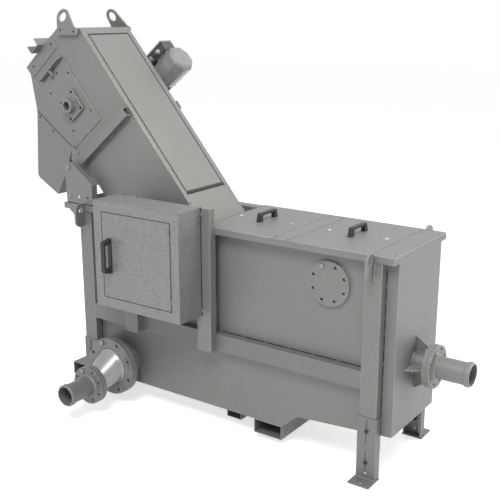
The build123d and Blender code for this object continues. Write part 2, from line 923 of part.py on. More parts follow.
foot_bottom = floor_top + foot_gap - pivot_z
low_left_s = (under_n * cos(slope) - foot_bottom) / sin(slope)
foot_right_x = foot_x + foot_reach_x - pivot_x
right_low = to_slope(foot_right_x, foot_bottom)
right_high_s = (foot_right_x - top_n * sin(slope)) / cos(slope)
crown_left_n = (crown_height + upper_s * sin(slope)) / cos(slope)
crown_right_s = (top_n * cos(slope) - crown_height) / sin(slope)
housing_outline = [
    (upper_s, under_n),
    (low_left_s, under_n),
    right_low,
    (right_high_s, top_n),
    (crown_right_s, top_n),
    (upper_s, crown_left_n),
]
shaft_bore = shaft_radius + running_fit
lid_level_s = (pivot_z + top_n * cos(slope) - lid_top) / sin(slope)
bottom_end = bars_start - edge_gap
baffle_start = (pivot_z + under_n * cos(slope) - rim_bottom) / sin(slope) + 10.0
cover_end = cover_start + cover_length
cover_half = half_housing - face_frame
ledge = 15.0
with BuildPart() as screen_housing:
    prism(slope_side, housing_outline, half_housing, both=True)
    prism(
        slope_side,
        inset_outline(housing_outline, [-10, -10, -10, -10, housing_wall, housing_wall]),
        inner_housing,
        both=True,
        mode=Mode.SUBTRACT,
    )
    with BuildSketch(slope_face.offset(top_n - housing_wall)) as face_plate:
        with Locations(((crown_right_s + lid_level_s + 60.0) / 2, 0)):
            Rectangle(lid_level_s + 60.0 - crown_right_s, housing_width)
        with Locations(((cover_start + cover_end) / 2, 0)):
            Rectangle(cover_length, 2 * cover_half, mode=Mode.SUBTRACT)
    extrude(face_plate.sketch, amount=housing_wall)
    with BuildSketch(slope_face.offset(top_n - cover_sheet - housing_wall)) as cover_ledge:
        with Locations(((cover_start + cover_end) / 2, 0)):
            Rectangle(cover_length + 2 * ledge, housing_width)
            Rectangle(cover_length - 2 * ledge, 2 * (cover_half - ledge), mode=Mode.SUBTRACT)
    extrude(cover_ledge.sketch, amount=housing_wall)
    for start, end in ((upper_s, chute_start), (chute_end, bottom_end)):
        with BuildSketch(slope_face.offset(under_n)) as floor_plate:
            with Locations(((start + end) / 2, 0)):
                Rectangle(end - start, housing_width)
        extrude(floor_plate.sketch, amount=housing_wall)
    for turn in (-1, 1):
        with BuildSketch(slope_face.offset(under_n)) as baffle:
            with Locations(
                ((baffle_start + low_left_s) / 2, turn * (half_housing + half_width - tank_wall) / 2)
            ):
                Rectangle(low_left_s - baffle_start, half_width - tank_wall - half_housing)
        extrude(baffle.sketch, amount=housing_wall)
    with BuildSketch(slope_side) as shaft_holes:
        with Locations((head_s, head_n)):
            Circle(shaft_radius + 12.0)
            with GridLocations(bearing_spacing, bearing_spacing, 2, 2):
                Circle(leg_bolt_radius + bolt_slack)
    extrude(shaft_holes.sketch, amount=housing_width, both=True, mode=Mode.SUBTRACT)
save(screen_housing.part, "screen_housing")

with BuildPart() as housing_cover:
    with BuildSketch(slope_face.offset(top_n - cover_sheet)) as cover_edge:
        with Locations(((cover_start + cover_end) / 2, 0)):
            Rectangle(cover_length - 2 * edge_gap, 2 * (cover_half - edge_gap))
    extrude(cover_edge.sketch, amount=cover_sheet)
    with BuildSketch(slope_face.offset(top_n - cover_sheet)) as cover_hollow:
        with Locations(((cover_start + cover_end) / 2, 0)):
            Rectangle(cover_length - 2 * edge_gap - 6.0, 2 * (cover_half - edge_gap) - 6.0)
    extrude(cover_hollow.sketch, amount=cover_sheet / 2, mode=Mode.SUBTRACT)
    with BuildSketch(slope_face.offset(top_n)) as grip_lip:
        with Locations((cover_end - edge_gap - 6.0, 0)):
            Rectangle(12.0, 2 * (cover_half - edge_gap))
    extrude(grip_lip.sketch, amount=3.0)
save(housing_cover.part, "housing_cover")

# Chute under the head: offsets from the pivot bolt, down the outside wall,
# across the mouth and back up
chute_outline = [
    (-387.0, 516.0),
    (-345.0, 296.0),
    (-375.0, -96.0),
    (-362.0, -115.0),
    (-208.0, -201.0),
    (-124.0, -55.0),
    (-62.0, 99.0),
]
pivot_side = Plane(origin=(pivot_x, 0, pivot_z), x_dir=(1, 0, 0), z_dir=(0, -1, 0))


def slope_offset(s, n):
    """A point of the inclined frame as an offset from the pivot bolt."""
    x, z = on_slope(s, n)
    return (x - pivot_x, z - pivot_z)


chute_outline[0] = slope_offset(chute_start, under_n)
chute_outline.append(slope_offset(chute_end, under_n))
chute_insets = [chute_sheet, chute_sheet, chute_sheet, -10, chute_sheet, chute_sheet, chute_sheet, -10]
wiper_tilt = radians(-wiper_angle)
stop_radius = 6.0
stop_reach = 40.0
stop_drop = wiper_sheet / 2 + stop_radius + touch_gap
stop_at = (
    wiper_x + stop_reach * cos(wiper_tilt) + stop_drop * sin(wiper_tilt),
    wiper_z + stop_reach * sin(wiper_tilt) - stop_drop * cos(wiper_tilt),
)
boss_length = 12.0
stop_length = 20.0
with BuildPart() as chute:
    prism(pivot_side, chute_outline, half_housing, both=True)
    prism(
        pivot_side,
        inset_outline(chute_outline, chute_insets),
        half_housing - chute_sheet,
        both=True,
        mode=Mode.SUBTRACT,
    )
    for turn in (-1, 1):
        cheek = pivot_side.offset(turn * (half_housing - chute_sheet))
        with BuildSketch(cheek) as boss:
            with Locations((wiper_x, wiper_z)):
                Circle(wiper_rod + 8.0)
        extrude(boss.sketch, amount=-turn * boss_length)
        with BuildSketch(cheek) as stop:
            with Locations(stop_at):
                Circle(stop_radius)
        extrude(stop.sketch, amount=-turn * stop_length)
        with BuildSketch(cheek) as boss_bore:
            with Locations((wiper_x, wiper_z)):
                Circle(wiper_rod + running_fit)
        extrude(boss_bore.sketch, amount=-turn * boss_length, mode=Mode.SUBTRACT)
save(chute.part, "chute")

# Discharge wiper: a rod with a blade that rests on its stops
wiper_half = half_housing - chute_sheet - boss_length - 1.0
wiper_plane = Plane(
    origin=(pivot_x + wiper_x, 0, pivot_z + wiper_z),
    x_dir=(cos(wiper_tilt), 0, sin(wiper_tilt)),
    z_dir=(0, -1, 0),
)
with BuildPart() as wiper:
    with BuildSketch(wiper_plane) as rod:
        Circle(wiper_rod)
    extrude(rod.sketch, amount=half_housing - chute_sheet - touch_gap, both=True)
    prism(
        wiper_plane,
        [
            (0, -wiper_sheet / 2),
            (wiper_length, -wiper_sheet / 2),
            (wiper_length, wiper_sheet / 2),
            (0, wiper_sheet / 2),
        ],
        wiper_half,
        both=True,
    )
save(wiper.part, "wiper")

blade_overlap = 14.0
with BuildPart() as wiper_blade:
    prism(
        wiper_plane,
        [
            (wiper_length - blade_overlap, wiper_sheet / 2),
            (wiper_length - blade_overlap + wiper_blade_length, wiper_sheet / 2),
            (wiper_length - blade_overlap + wiper_blade_length, wiper_sheet / 2 + 4.0),
            (wiper_length - blade_overlap, wiper_sheet / 2 + 6.0),
        ],
        wiper_half - 20.0,
        both=True,
    )
save(wiper_blade.part, "wiper_blade")

# Lifting lugs, end brackets and stiffening plates on the housing sides
housing_lug_hole = 27.5
housing_lug_plate = 8.0
lug_stand_off = 16.0
lug_lean = radians(18)
lug_fold = crown_height + 10.0
lug_out = half_housing + lug_stand_off + housing_lug_plate
lug_eye = (-78.0, 56.0)
lug_foot = (-109.0, 24.0)
lug_foot_end = 48.0
lug_foot_drop = 46.0
lug_plane = Plane(
    origin=(pivot_x, -lug_out, pivot_z + lug_fold), x_dir=(1, 0, 0), z_dir=(0, -cos(lug_lean), sin(lug_lean))
)
with BuildPart() as housing_lugs:
    with BuildSketch(pivot_side.offset(half_housing)) as stand_off:
        with Locations(((lug_foot[0] + lug_foot_end) / 2, lug_fold - lug_foot_drop / 2 - 8.0)):
            Rectangle(lug_foot_end - lug_foot[0] - 24.0, lug_foot_drop - 28.0)
    extrude(stand_off.sketch, amount=lug_stand_off)
    with BuildSketch(pivot_side.offset(lug_out - housing_lug_plate)) as lug_foot_profile:
        with BuildLine():
            Polyline(
                (lug_foot[0], lug_fold),
                (lug_foot[0], lug_fold - lug_foot_drop),
                (lug_foot_end, lug_fold - lug_foot_drop),
                (lug_foot_end, lug_fold - 14.0),
                (lug_foot_end - 8.0, lug_fold - 6.0),
                (lug_foot[1], lug_fold),
                close=True,
            )
        make_face()
        lug_corners = lug_foot_profile.vertices().sort_by(Axis.Y)[:2]
        fillet(lug_corners, 12.0)
    extrude(lug_foot_profile.sketch, amount=housing_lug_plate)
    with BuildSketch(lug_plane) as lug_profile:
        with Locations(lug_eye):
            Circle(46.0)
        with BuildLine():
            Polyline((lug_foot[0], 0), (lug_foot[1], 0), (lug_foot[1], 1.0), (lug_foot[0], 1.0), close=True)
        make_face()
        make_hull()
        with Locations(lug_eye):
            Circle(housing_lug_hole, mode=Mode.SUBTRACT)
    extrude(lug_profile.sketch, amount=-housing_lug_plate)
    mirror(about=side)
save(housing_lugs.part, "housing_lugs")

end_channel_low = 170.0
end_channel_width = 78.0
end_channel_depth = 48.0
end_channel_beyond = 52.0
end_channel_middle = on_slope(upper_s, end_channel_low + end_channel_width / 2)
end_channel_half = half_housing + end_channel_beyond
with BuildPart() as end_channel:
    channel(
        (end_channel_middle[0], -end_channel_half, end_channel_middle[1]),
        (0, 1, 0),
        (-down[0], 0, -down[2]),
        2 * end_channel_half,
        end_channel_width,
        end_channel_depth,
        channel_wall,
    )
save(end_channel.part, "end_channel")

with BuildPart() as bearing_plates:
    with BuildSketch(slope_side.offset(half_housing)) as plate_profile:
        with Locations(((takeup_start + takeup_end) / 2, (takeup_low + takeup_high) / 2)):
            Rectangle(takeup_end - takeup_start, takeup_high - takeup_low)
        with Locations((head_s, head_n)):
            Circle(shaft_radius + 12.0, mode=Mode.SUBTRACT)
            with GridLocations(bearing_spacing, bearing_spacing, 2, 2):
                Circle(leg_bolt_radius + bolt_slack, mode=Mode.SUBTRACT)
    extrude(plate_profile.sketch, amount=bearing_plate_t)
    with BuildSketch(slope_side.offset(half_housing)) as corner_profile:
        with Locations((upper_s + 39.5, (takeup_low + takeup_high) / 2 + 3.0)):
            Rectangle(79.0, takeup_high - takeup_low + 6.0)
    extrude(corner_profile.sketch, amount=bearing_plate_t)
    mirror(about=side)
save(bearing_plates.part, "bearing_plates")

bearing_face = half_housing + bearing_plate_t
bearing_corners = [
    (head_s + a * bearing_spacing / 2, head_n + b * bearing_spacing / 2) for a in (-1, 1) for b in (-1, 1)
]
socket_head = 9.0
socket_height = 9.0
socket_sink = 12.0
with BuildPart() as shaft_bearings:
    with BuildSketch(slope_side.offset(bearing_face)) as bearing_profile:
        with Locations((head_s, head_n)):
            RectangleRounded(bearing_size, bearing_size, 14.0)
            with GridLocations(bearing_spacing, bearing_spacing, 2, 2):
                Circle(leg_bolt_radius + bolt_slack, mode=Mode.SUBTRACT)
    extrude(bearing_profile.sketch, amount=bearing_flange)
    with BuildSketch(slope_side.offset(bearing_face + bearing_flange)) as counterbores:
        with Locations(*bearing_corners):
            Circle(socket_head + bolt_slack)
    extrude(counterbores.sketch, amount=-socket_sink, mode=Mode.SUBTRACT)
    with BuildSketch(slope_side.offset(bearing_face + bearing_flange)) as bearing_neck:
        with Locations((head_s, head_n)):
            Circle(bearing_boss)
    extrude(bearing_neck.sketch, amount=bearing_reach - bearing_plate_t - bearing_flange, taper=8)
    with BuildSketch(slope_side.offset(bearing_face)) as bearing_bore:
        with Locations((head_s, head_n)):
            Circle(shaft_bore)
    extrude(bearing_bore.sketch, amount=bearing_reach, mode=Mode.SUBTRACT)
    mirror(about=side)
save(shaft_bearings.part, "shaft_bearings")

with BuildPart() as bearing_bolts:
    bolt_seat = slope_side.offset(bearing_face + bearing_flange - socket_sink)
    with BuildSketch(bolt_seat) as socket_heads:
        with Locations(*bearing_corners):
            Circle(socket_head)
            RegularPolygon(5.0, 6, mode=Mode.SUBTRACT)
    extrude(socket_heads.sketch, amount=socket_height)
    bolt(
        bolt_seat,
        bearing_corners,
        socket_head,
        socket_height / 2,
        leg_bolt_radius,
        bearing_flange - socket_sink + bearing_plate_t + housing_wall + socket_height / 2,
        nut=True,
    )
    mirror(about=side)
save(bearing_bolts.part, "bearing_bolts")

# Take-up screws: a fin on each side with a short set screw that points at the bearing
fin_s = takeup_start - 3.0
fin_sheet = 5.0
fin_reach = 38.0
fin_low = 90.0
fin_high = 320.0
set_screw = 7.0
set_screw_length = 34.0
with BuildPart() as take_up_screws:
    with BuildSketch(slope_end.offset(fin_s)) as fin:
        with BuildLine():
            Polyline(
                (-half_housing, fin_low),
                (-half_housing - fin_reach, fin_low),
                (-half_housing - fin_reach, fin_high - 16.0),
                (-half_housing - fin_reach + 16.0, fin_high),
                (-half_housing, fin_high),
                close=True,
            )
        make_face()
    extrude(fin.sketch, amount=-fin_sheet)
    with BuildSketch(slope_end.offset(fin_s - fin_sheet)) as screw_head:
        with Locations((-half_housing - fin_reach / 2, head_n)):
            RegularPolygon(12.0, 6)
    extrude(screw_head.sketch, amount=-7.0)
    with BuildSketch(slope_end.offset(fin_s)) as screw_nut:
        with Locations((-half_housing - fin_reach / 2, head_n)):
            RegularPolygon(12.0, 6)
    extrude(screw_nut.sketch, amount=9.0)
    with BuildSketch(slope_end.offset(fin_s)) as screw_shank:
        with Locations((-half_housing - fin_reach / 2, head_n)):
            Circle(set_screw)
    extrude(screw_shank.sketch, amount=set_screw_length)
    mirror(about=side)
save(take_up_screws.part, "take_up_screws")

# Struts, pivot brackets, bushes and bolts
strut_middle = (strut_start + strut_end) / 2
strut_foot = on_slope(strut_middle, strut_low)
with BuildPart() as struts:
    channel(
        (strut_foot[0], -half_housing - strut_depth, strut_foot[1]),
        outwards,
        (0, 1, 0),
        strut_high - strut_low,
        strut_end - strut_start,
        strut_depth,
        channel_wall,
    )
    with BuildSketch(slope_side.offset(half_housing + strut_depth)) as strut_hole:
        Circle(pivot_bolt + bolt_slack)
    extrude(strut_hole.sketch, amount=-channel_wall, mode=Mode.SUBTRACT)
    mirror(about=side)
save(struts.part, "struts")

bracket_left = -26.0
bracket_right = bracket_left + bracket_width
bracket_base = bracket_lift - pivot_height
bracket_holes = [(x, bracket_hole_z - pivot_height) for x in (6.0, 69.0, 141.0)]
slope_edge = (Vector(bracket_right, -pivot_height + bracket_shoulder + 3.0), Vector(27.0, 17.0))
edge_way = (slope_edge[1] - slope_edge[0]).normalized()
edge_in = Vector(-edge_way.Y, edge_way.X) * bracket_sheet
with BuildPart() as pivot_brackets:
    with BuildSketch(pivot_side.offset(bracket_y - bracket_sheet)) as bracket_profile:
        Circle(pivot_eye)
        with BuildLine():
            Polyline(
                (bracket_left, bracket_base),
                (bracket_right, bracket_base),
                (bracket_right, -pivot_height + bracket_shoulder + 3.0),
                close=True,
            )
        make_face()
        make_hull()
        Circle(pivot_bolt + bolt_slack, mode=Mode.SUBTRACT)
        with Locations(*bracket_holes):
            Circle(bracket_hole, mode=Mode.SUBTRACT)
    extrude(bracket_profile.sketch, amount=bracket_sheet)
    prism(
        pivot_side.offset(bracket_y - bracket_return),
        [
            (slope_edge[0].X, slope_edge[0].Y),
            (slope_edge[1].X, slope_edge[1].Y),
            ((slope_edge[1] + edge_in).X, (slope_edge[1] + edge_in).Y),
            ((slope_edge[0] + edge_in).X, (slope_edge[0] + edge_in).Y),
        ],
        bracket_return - bracket_sheet,
    )
    prism(
        pivot_side.offset(bracket_y - bracket_return),
        [
            (bracket_left, bracket_base),
            (bracket_right, bracket_base),
            (bracket_right, -pivot_height + bracket_shoulder),
            (bracket_right - bracket_sheet, -pivot_height + bracket_shoulder),
            (bracket_right - bracket_sheet, bracket_base + bracket_sheet),
            (bracket_left, bracket_base + bracket_sheet),
        ],
        bracket_return - bracket_sheet,
    )
    for end in (bracket_left + bracket_return, bracket_right - bracket_return):
        with BuildSketch(pivot_side.offset(bracket_y - bracket_return)) as foot_pad:
            with Locations((end, -pivot_height)):
                Rectangle(bracket_return, bracket_lift, align=(Align.CENTER, Align.MIN))
        extrude(foot_pad.sketch, amount=bracket_return - 2 * bracket_sheet)
    mirror(about=side)
save(pivot_brackets.part, "pivot_brackets")

web_face = half_housing + strut_depth
with BuildPart() as pivot_bolts:
    with BuildSketch(pivot_side.offset(web_face)) as bush_ring:
        Circle(bush_radius)
        Circle(pivot_bolt + bolt_slack, mode=Mode.SUBTRACT)
    extrude(bush_ring.sketch, amount=bracket_y - bracket_sheet - web_face)
    bolt(
        pivot_side.offset(bracket_y),
        [(0, 0)],
        15.0,
        10.0,
        pivot_bolt,
        bracket_y - web_face + channel_wall + 10.0,
        nut=True,
    )
    mirror(about=side)
save(pivot_bolts.part, "pivot_bolts")

# Head shaft with its two chain sprockets
gearbox_face = half_housing + bearing_reach
with BuildPart() as head_shaft:
    with BuildSketch(slope_side.offset(gearbox_face - shaft_recess)) as shaft_round:
        with Locations((head_s, head_n)):
            Circle(shaft_radius)
    extrude(shaft_round.sketch, amount=-(2 * gearbox_face - shaft_recess + gearbox_width - 6.0))
save(head_shaft.part, "head_shaft")

with BuildPart() as sprockets:
    with BuildSketch(slope_side.offset(chain_y - sprocket_thickness / 2)) as tooth_profile:
        with Locations((head_s, head_n)):
            Circle(pitch_radius + tooth_height)
            with PolarLocations(pitch_radius, sprocket_teeth):
                Circle(roller_radius + 0.5, mode=Mode.SUBTRACT)
                Polygon(
                    (0, -roller_radius - 0.5),
                    (2 * tooth_height, -roller_radius - 6.0),
                    (2 * tooth_height, roller_radius + 6.0),
                    (0, roller_radius + 0.5),
                    align=None,
                    mode=Mode.SUBTRACT,
                )
            Circle(shaft_bore, mode=Mode.SUBTRACT)
    extrude(tooth_profile.sketch, amount=sprocket_thickness)
    with BuildSketch(slope_side.offset(chain_y - sprocket_thickness / 2 - 26.0)) as hub:
        with Locations((head_s, head_n)):
            Circle(hub_radius)
            Circle(shaft_bore, mode=Mode.SUBTRACT)
    extrude(hub.sketch, amount=26.0)
    mirror(about=side)
save(sprockets.part, "sprockets")

# Roller chains: two straight runs joined by half turns at the head and the foot
half_turn = sprocket_teeth // 2
tooth_angle = 360 / sprocket_teeth
chain_points = []
for i in range(run_pitches + 1):
    chain_points.append((head_s + i * chain_pitch, head_n + pitch_radius))
for i in range(1, half_turn):
    turn = radians(90 - i * tooth_angle)
    chain_points.append((foot_s + pitch_radius * cos(turn), head_n + pitch_radius * sin(turn)))
for i in range(run_pitches + 1):
    chain_points.append((foot_s - i * chain_pitch, head_n - pitch_radius))
for i in range(1, half_turn):
    turn = radians(270 - i * tooth_angle)
    chain_points.append((head_s + pitch_radius * cos(turn), head_n + pitch_radius * sin(turn)))
link_count = len(chain_points)


def link_place(i):
    """Frame at the middle of a link: X along the run, Y away from the loop."""
    s1, n1 = chain_points[i]
    s2, n2 = chain_points[(i + 1) % link_count]
    x1, z1 = on_slope(s1, n1)
    x2, z2 = on_slope(s2, n2)
    way = (x2 - x1, 0, z2 - z1)
    return Plane(origin=((x1 + x2) / 2, 0, (z1 + z2) / 2), x_dir=way, z_dir=(0, -1, 0)).location


link_solids = []
for kind, offset in (("inner", roller_length / 2), ("outer", roller_length / 2 + link_plate)):
    with BuildPart() as link:
        for y in [
            turn * (chain_y + side_turn * (offset + link_plate / 2)) - link_plate / 2
            for turn in (-1, 1)
            for side_turn in (-1, 1)
        ]:
            block(
                (-(chain_pitch + link_overlap) / 2, -link_height / 2, y),
                ((chain_pitch + link_overlap) / 2, link_height / 2, y + link_plate),
            )
    link_solids.append(link.part)
with BuildPart() as roller_pair:
    with BuildSketch(Plane.XY) as roller_round:
        RegularPolygon(roller_radius, 6)
    extrude(roller_round.sketch, amount=-chain_y - roller_length / 2)
    extrude(roller_round.sketch, amount=chain_y + roller_length / 2)
    block(
        (-roller_radius, -roller_radius, -chain_y + roller_length / 2),
        (roller_radius, roller_radius, chain_y - roller_length / 2),
        mode=Mode.SUBTRACT,
    )
chain_pieces = []
for i in range(link_count):
    place = link_place(i)
    chain_pieces += (place * link_solids[(i + 1) % 2]).solids()
    chain_pieces += (place * Pos(-chain_pitch / 2, 0, 0) * roller_pair.part).solids()
chains = Compound(children=chain_pieces)
save(chains, "chains")

# Rakes: a comb that reaches between the bars, on a beam between the chains
half_rake = chain_y - roller_length / 2 - 2 * link_plate
plate_half = half_rake - 4.0
comb_root = bar_top_n - (head_n - pitch_radius)
with BuildPart() as rake:
    with BuildSketch(Plane.YZ.offset(-rake_plate / 2)) as comb:
        Rectangle(2 * (plate_half - 1.0), rake_tip + 10.0, align=(Align.CENTER, Align.MIN))
        with Locations((0, 10.0 - comb_root - tooth_root_gap)):
            with GridLocations(bar_pitch, 0, bar_count, 1):
                Rectangle(
                    bar_thickness + 2 * tooth_side_gap,
                    rake_tip + 10.0,
                    align=(Align.CENTER, Align.MIN),
                    mode=Mode.SUBTRACT,
                )
    extrude(comb.sketch, amount=rake_plate)
    block((-rake_plate / 2 - 16.0, -half_rake, 0), (-rake_plate / 2, half_rake, 12.0))
rake_stand = Plane(origin=(0, 0, 0), x_dir=(1, 0, 0), z_dir=(0, -1, 0)).location.inverse()
rake_pieces = []
for i in range(first_rake, link_count, rake_spacing):
    rake_pieces += (link_place(i) * rake_stand * Pos(0, 0, -10.0) * rake.part).solids()
rakes = Compound(children=rake_pieces)
save(rakes, "rakes")

# Bar rack
bars_end = foot_s + bars_past_foot
bars_middle = (bars_start + bars_end) / 2
with BuildPart() as bar_rack:
    with BuildSketch(slope_face.offset(bar_top_n - bar_depth)) as bars:
        with Locations((bars_middle, 0)):
            with GridLocations(0, bar_pitch, 1, bar_count):
                Rectangle(bars_end - bars_start, bar_thickness)
    extrude(bars.sketch, amount=bar_depth)
    with BuildSketch(slope_face.offset(bar_top_n - bar_depth - tie_depth)) as ties:
        for s in (bars_start + 60.0, bars_middle, bars_end - 30.0):
            with Locations((s, 0)):
                Rectangle(tie_width, 2 * inner_housing)
    extrude(ties.sketch, amount=tie_depth + 2.0)
save(bar_rack.part, "bar_rack")

# Chain guides: rails under both runs and a fixed half wheel at the foot
guide_half = 6.0
lower_top = head_n - pitch_radius - roller_radius - touch_gap
upper_top = head_n + pitch_radius - roller_radius - touch_gap
guide_start = head_s + pitch_radius + tooth_height + 24.0
wheel_radius = pitch_radius - roller_radius - touch_gap
with BuildPart() as chain_guides:
    for top, web, inner_y in ((lower_top, 11.0, plate_half + 1.0), (upper_top, 11.0, chain_y - guide_half)):
        with BuildSketch(slope_end.offset(guide_start)) as guide:
            with Locations((chain_y, top - web / 2)):
                Rectangle(2 * guide_half, web)
            with Locations(((inner_y + inner_housing) / 2, top - web - 2.0)):
                Rectangle(inner_housing - inner_y, 4.0)
        extrude(guide.sketch, amount=foot_s - guide_start)
    with BuildSketch(slope_side.offset(-chain_y - guide_half)) as wheel:
        with Locations((foot_s, head_n)):
            Circle(wheel_radius)
    extrude(wheel.sketch, amount=2 * guide_half)
    with BuildSketch(slope_side.offset(-inner_housing)) as wheel_boss:
        with Locations((foot_s, head_n)):
            Circle(30.0)
    extrude(wheel_boss.sketch, amount=inner_housing - chain_y)
    mirror(about=side)
save(chain_guides.part, "chain_guides")

dead_top = head_n - tip_radius - tooth_root_gap
with BuildPart() as dead_plate:
    prism(
        slope_end.offset(chute_end),
        [
            (-plate_half, under_n + housing_wall),
            (plate_half, under_n + housing_wall),
            (plate_half, dead_top),
            (-plate_half, dead_top),
        ],
        bottom_end - chute_end,
    )
    prism(
        slope_end.offset(chute_end),
        [
            (-plate_half + 4.0, under_n + housing_wall),
            (plate_half - 4.0, under_n + housing_wall),
            (plate_half - 4.0, dead_top - 4.0),
            (-plate_half + 4.0, dead_top - 4.0),
        ],
        bottom_end - chute_end,
        mode=Mode.SUBTRACT,
    )
save(dead_plate.part, "dead_plate")

# Drive: worm gearbox on the back end of the shaft and its motor
worm_s = head_s + gearbox_offset
motor_y = gearbox_face + gearbox_width / 2
motor_plane = Plane(
    origin=(on_slope(worm_s, 0)[0], motor_y, on_slope(worm_s, 0)[1]), x_dir=down, z_dir=outwards
)
with BuildPart() as gearbox:
    with BuildSketch(slope_side.offset(-gearbox_face)) as gear_case:
        with Locations((head_s + gearbox_offset / 2, head_n)):
            RectangleRounded(gearbox_case, gearbox_case, gearbox_corner)
    extrude(gear_case.sketch, amount=-gearbox_width)
    with BuildSketch(motor_plane.offset(head_n + adapter_start)) as input_flange:
        Circle(motor_radius)
    extrude(input_flange.sketch, amount=motor_start - head_n - adapter_start)
    with BuildSketch(slope_side.offset(-gearbox_face)) as output_bore:
        with Locations((head_s, head_n)):
            Circle(shaft_bore)
    extrude(output_bore.sketch, amount=-gearbox_width, mode=Mode.SUBTRACT)
save(gearbox.part, "gearbox")

with BuildPart() as motor:
    with BuildSketch(motor_plane.offset(motor_start)) as motor_flange:
        Circle(motor_radius + motor_flange_extra)
    extrude(motor_flange.sketch, amount=motor_flange_t)
    with BuildSketch(motor_plane.offset(motor_start)) as motor_round:
        Circle(motor_radius)
        with PolarLocations(motor_radius + 2.0, fin_count):
            Rectangle(12.0, 3.5)
    extrude(motor_round.sketch, amount=fan_start - motor_start)
save(motor.part, "motor")

with BuildPart() as fan_cover:
    with BuildSketch(motor_plane.offset(fan_start)) as fan_round:
        Circle(fan_radius)
    extrude(fan_round.sketch, amount=fan_end - fan_start)
    fillet(fan_cover.edges().sort_by(Axis(motor_plane.origin, motor_plane.z_dir))[-1], 14.0)
save(fan_cover.part, "fan_cover")

box_gap = 10.0
box_middle = fan_radius + terminal_depth / 2 + box_gap
with BuildPart() as terminal_box:
    with BuildSketch(motor_plane.offset(terminal_low)) as box_round:
        with Locations((-box_middle, 0)):
            RectangleRounded(terminal_depth, terminal_width, 8.0)
    extrude(box_round.sketch, amount=terminal_length)
    with BuildSketch(motor_plane.offset(terminal_low + 10.0)) as box_neck:
        with Locations((-(fan_radius + 10.0 + motor_radius) / 2 + 1.0, 0)):
            Rectangle(fan_radius + 12.0 - motor_radius, terminal_width * 0.7)
        Circle(motor_radius + 8.2, mode=Mode.SUBTRACT)
    extrude(box_neck.sketch, amount=fan_start - terminal_low - 12.0)
    gland_plane = Plane(
        origin=motor_plane.from_local_coords((-box_middle, -terminal_width / 2, terminal_low)),
        x_dir=outwards,
        z_dir=(0, -1, 0),
    )
    with BuildSketch(gland_plane) as glands:
        with Locations((42.0, 0), (78.0, 0)):
            RegularPolygon(12.0, 6)
    extrude(glands.sketch, amount=8.0)
    with BuildSketch(gland_plane.offset(8.0)) as gland_caps:
        with Locations((42.0, 0), (78.0, 0)):
            Circle(9.0)
    extrude(gland_caps.sketch, amount=12.0, taper=8)
save(terminal_box.part, "terminal_box")

# Control cabinet
cabinet_low = (cabinet_left, -cabinet_front, cabinet_bottom)
cabinet_high = (cabinet_right, -cabinet_back, cabinet_top)
door_left = cabinet_left + door_margin
door_right = cabinet_right - door_margin
door_bottom = cabinet_bottom + door_margin
door_top = cabinet_top - door_margin
door_middle = ((door_left + door_right) / 2, (door_bottom + door_top) / 2)
door_size = (door_right - door_left, door_top - door_bottom)
lip_depth = 18.0
with BuildPart() as cabinet_body:
    block(cabinet_low, cabinet_high)
    block(
        tuple(a + cabinet_sheet for a in cabinet_low),
        tuple(a - cabinet_sheet for a in cabinet_high),
        mode=Mode.SUBTRACT,
    )
    with BuildSketch(side.offset(cabinet_front)) as door_frame:
        with Locations(door_middle):
            RectangleRounded(
                door_size[0] + 2 * door_gap + 2 * cabinet_sheet,
                door_size[1] + 2 * door_gap + 2 * cabinet_sheet,
                door_radius + door_gap + cabinet_sheet,
            )
    extrude(door_frame.sketch, amount=-lip_depth)
    with BuildSketch(side.offset(cabinet_front)) as door_opening:
        with Locations(door_middle):
            RectangleRounded(door_size[0] + 2 * door_gap, door_size[1] + 2 * door_gap, door_radius + door_gap)
    extrude(door_opening.sketch, amount=-lip_depth, mode=Mode.SUBTRACT)
save(cabinet_body.part, "cabinet_body")

hinge_x = door_right + door_gap / 2
leaf_sheet = 1.5
hinge_y = cabinet_front + hinge_radius + leaf_sheet
hinge_places = [door_middle[1] - 165.0, door_middle[1] + 165.0]
with BuildPart() as cabinet_door:
    with BuildSketch(side.offset(cabinet_front)) as door_face:
        with Locations(door_middle):
            RectangleRounded(door_size[0], door_size[1], door_radius)
    extrude(door_face.sketch, amount=-door_depth)
    with BuildSketch(side.offset(cabinet_front - door_sheet)) as door_hollow:
        with Locations(door_middle):
            RectangleRounded(
                door_size[0] - 2 * door_sheet, door_size[1] - 2 * door_sheet, door_radius - door_sheet
            )
    extrude(door_hollow.sketch, amount=door_sheet - door_depth, mode=Mode.SUBTRACT)
    for z in hinge_places:
        block(
            (hinge_x - hinge_leaf, -hinge_y + hinge_radius, z + touch_gap),
            (hinge_x - door_gap / 2, -cabinet_front, z + hinge_length / 2),
        )
        block(
            (hinge_x - hinge_radius, -hinge_y, z + touch_gap),
            (hinge_x, -hinge_y + hinge_radius + leaf_sheet, z + hinge_length / 2),
        )
        with BuildSketch(Plane.XY.offset(z + touch_gap)) as door_knuckle:
            with Locations((hinge_x, -hinge_y)):
                Circle(hinge_radius)
        extrude(door_knuckle.sketch, amount=hinge_length / 2 - touch_gap)
        with BuildSketch(Plane.XY.offset(z + touch_gap)) as knuckle_bore:
            with Locations((hinge_x, -hinge_y)):
                Circle(hinge_radius / 2 + running_fit)
        extrude(knuckle_bore.sketch, amount=hinge_length / 2 - touch_gap, mode=Mode.SUBTRACT)
save(cabinet_door.part, "cabinet_door")

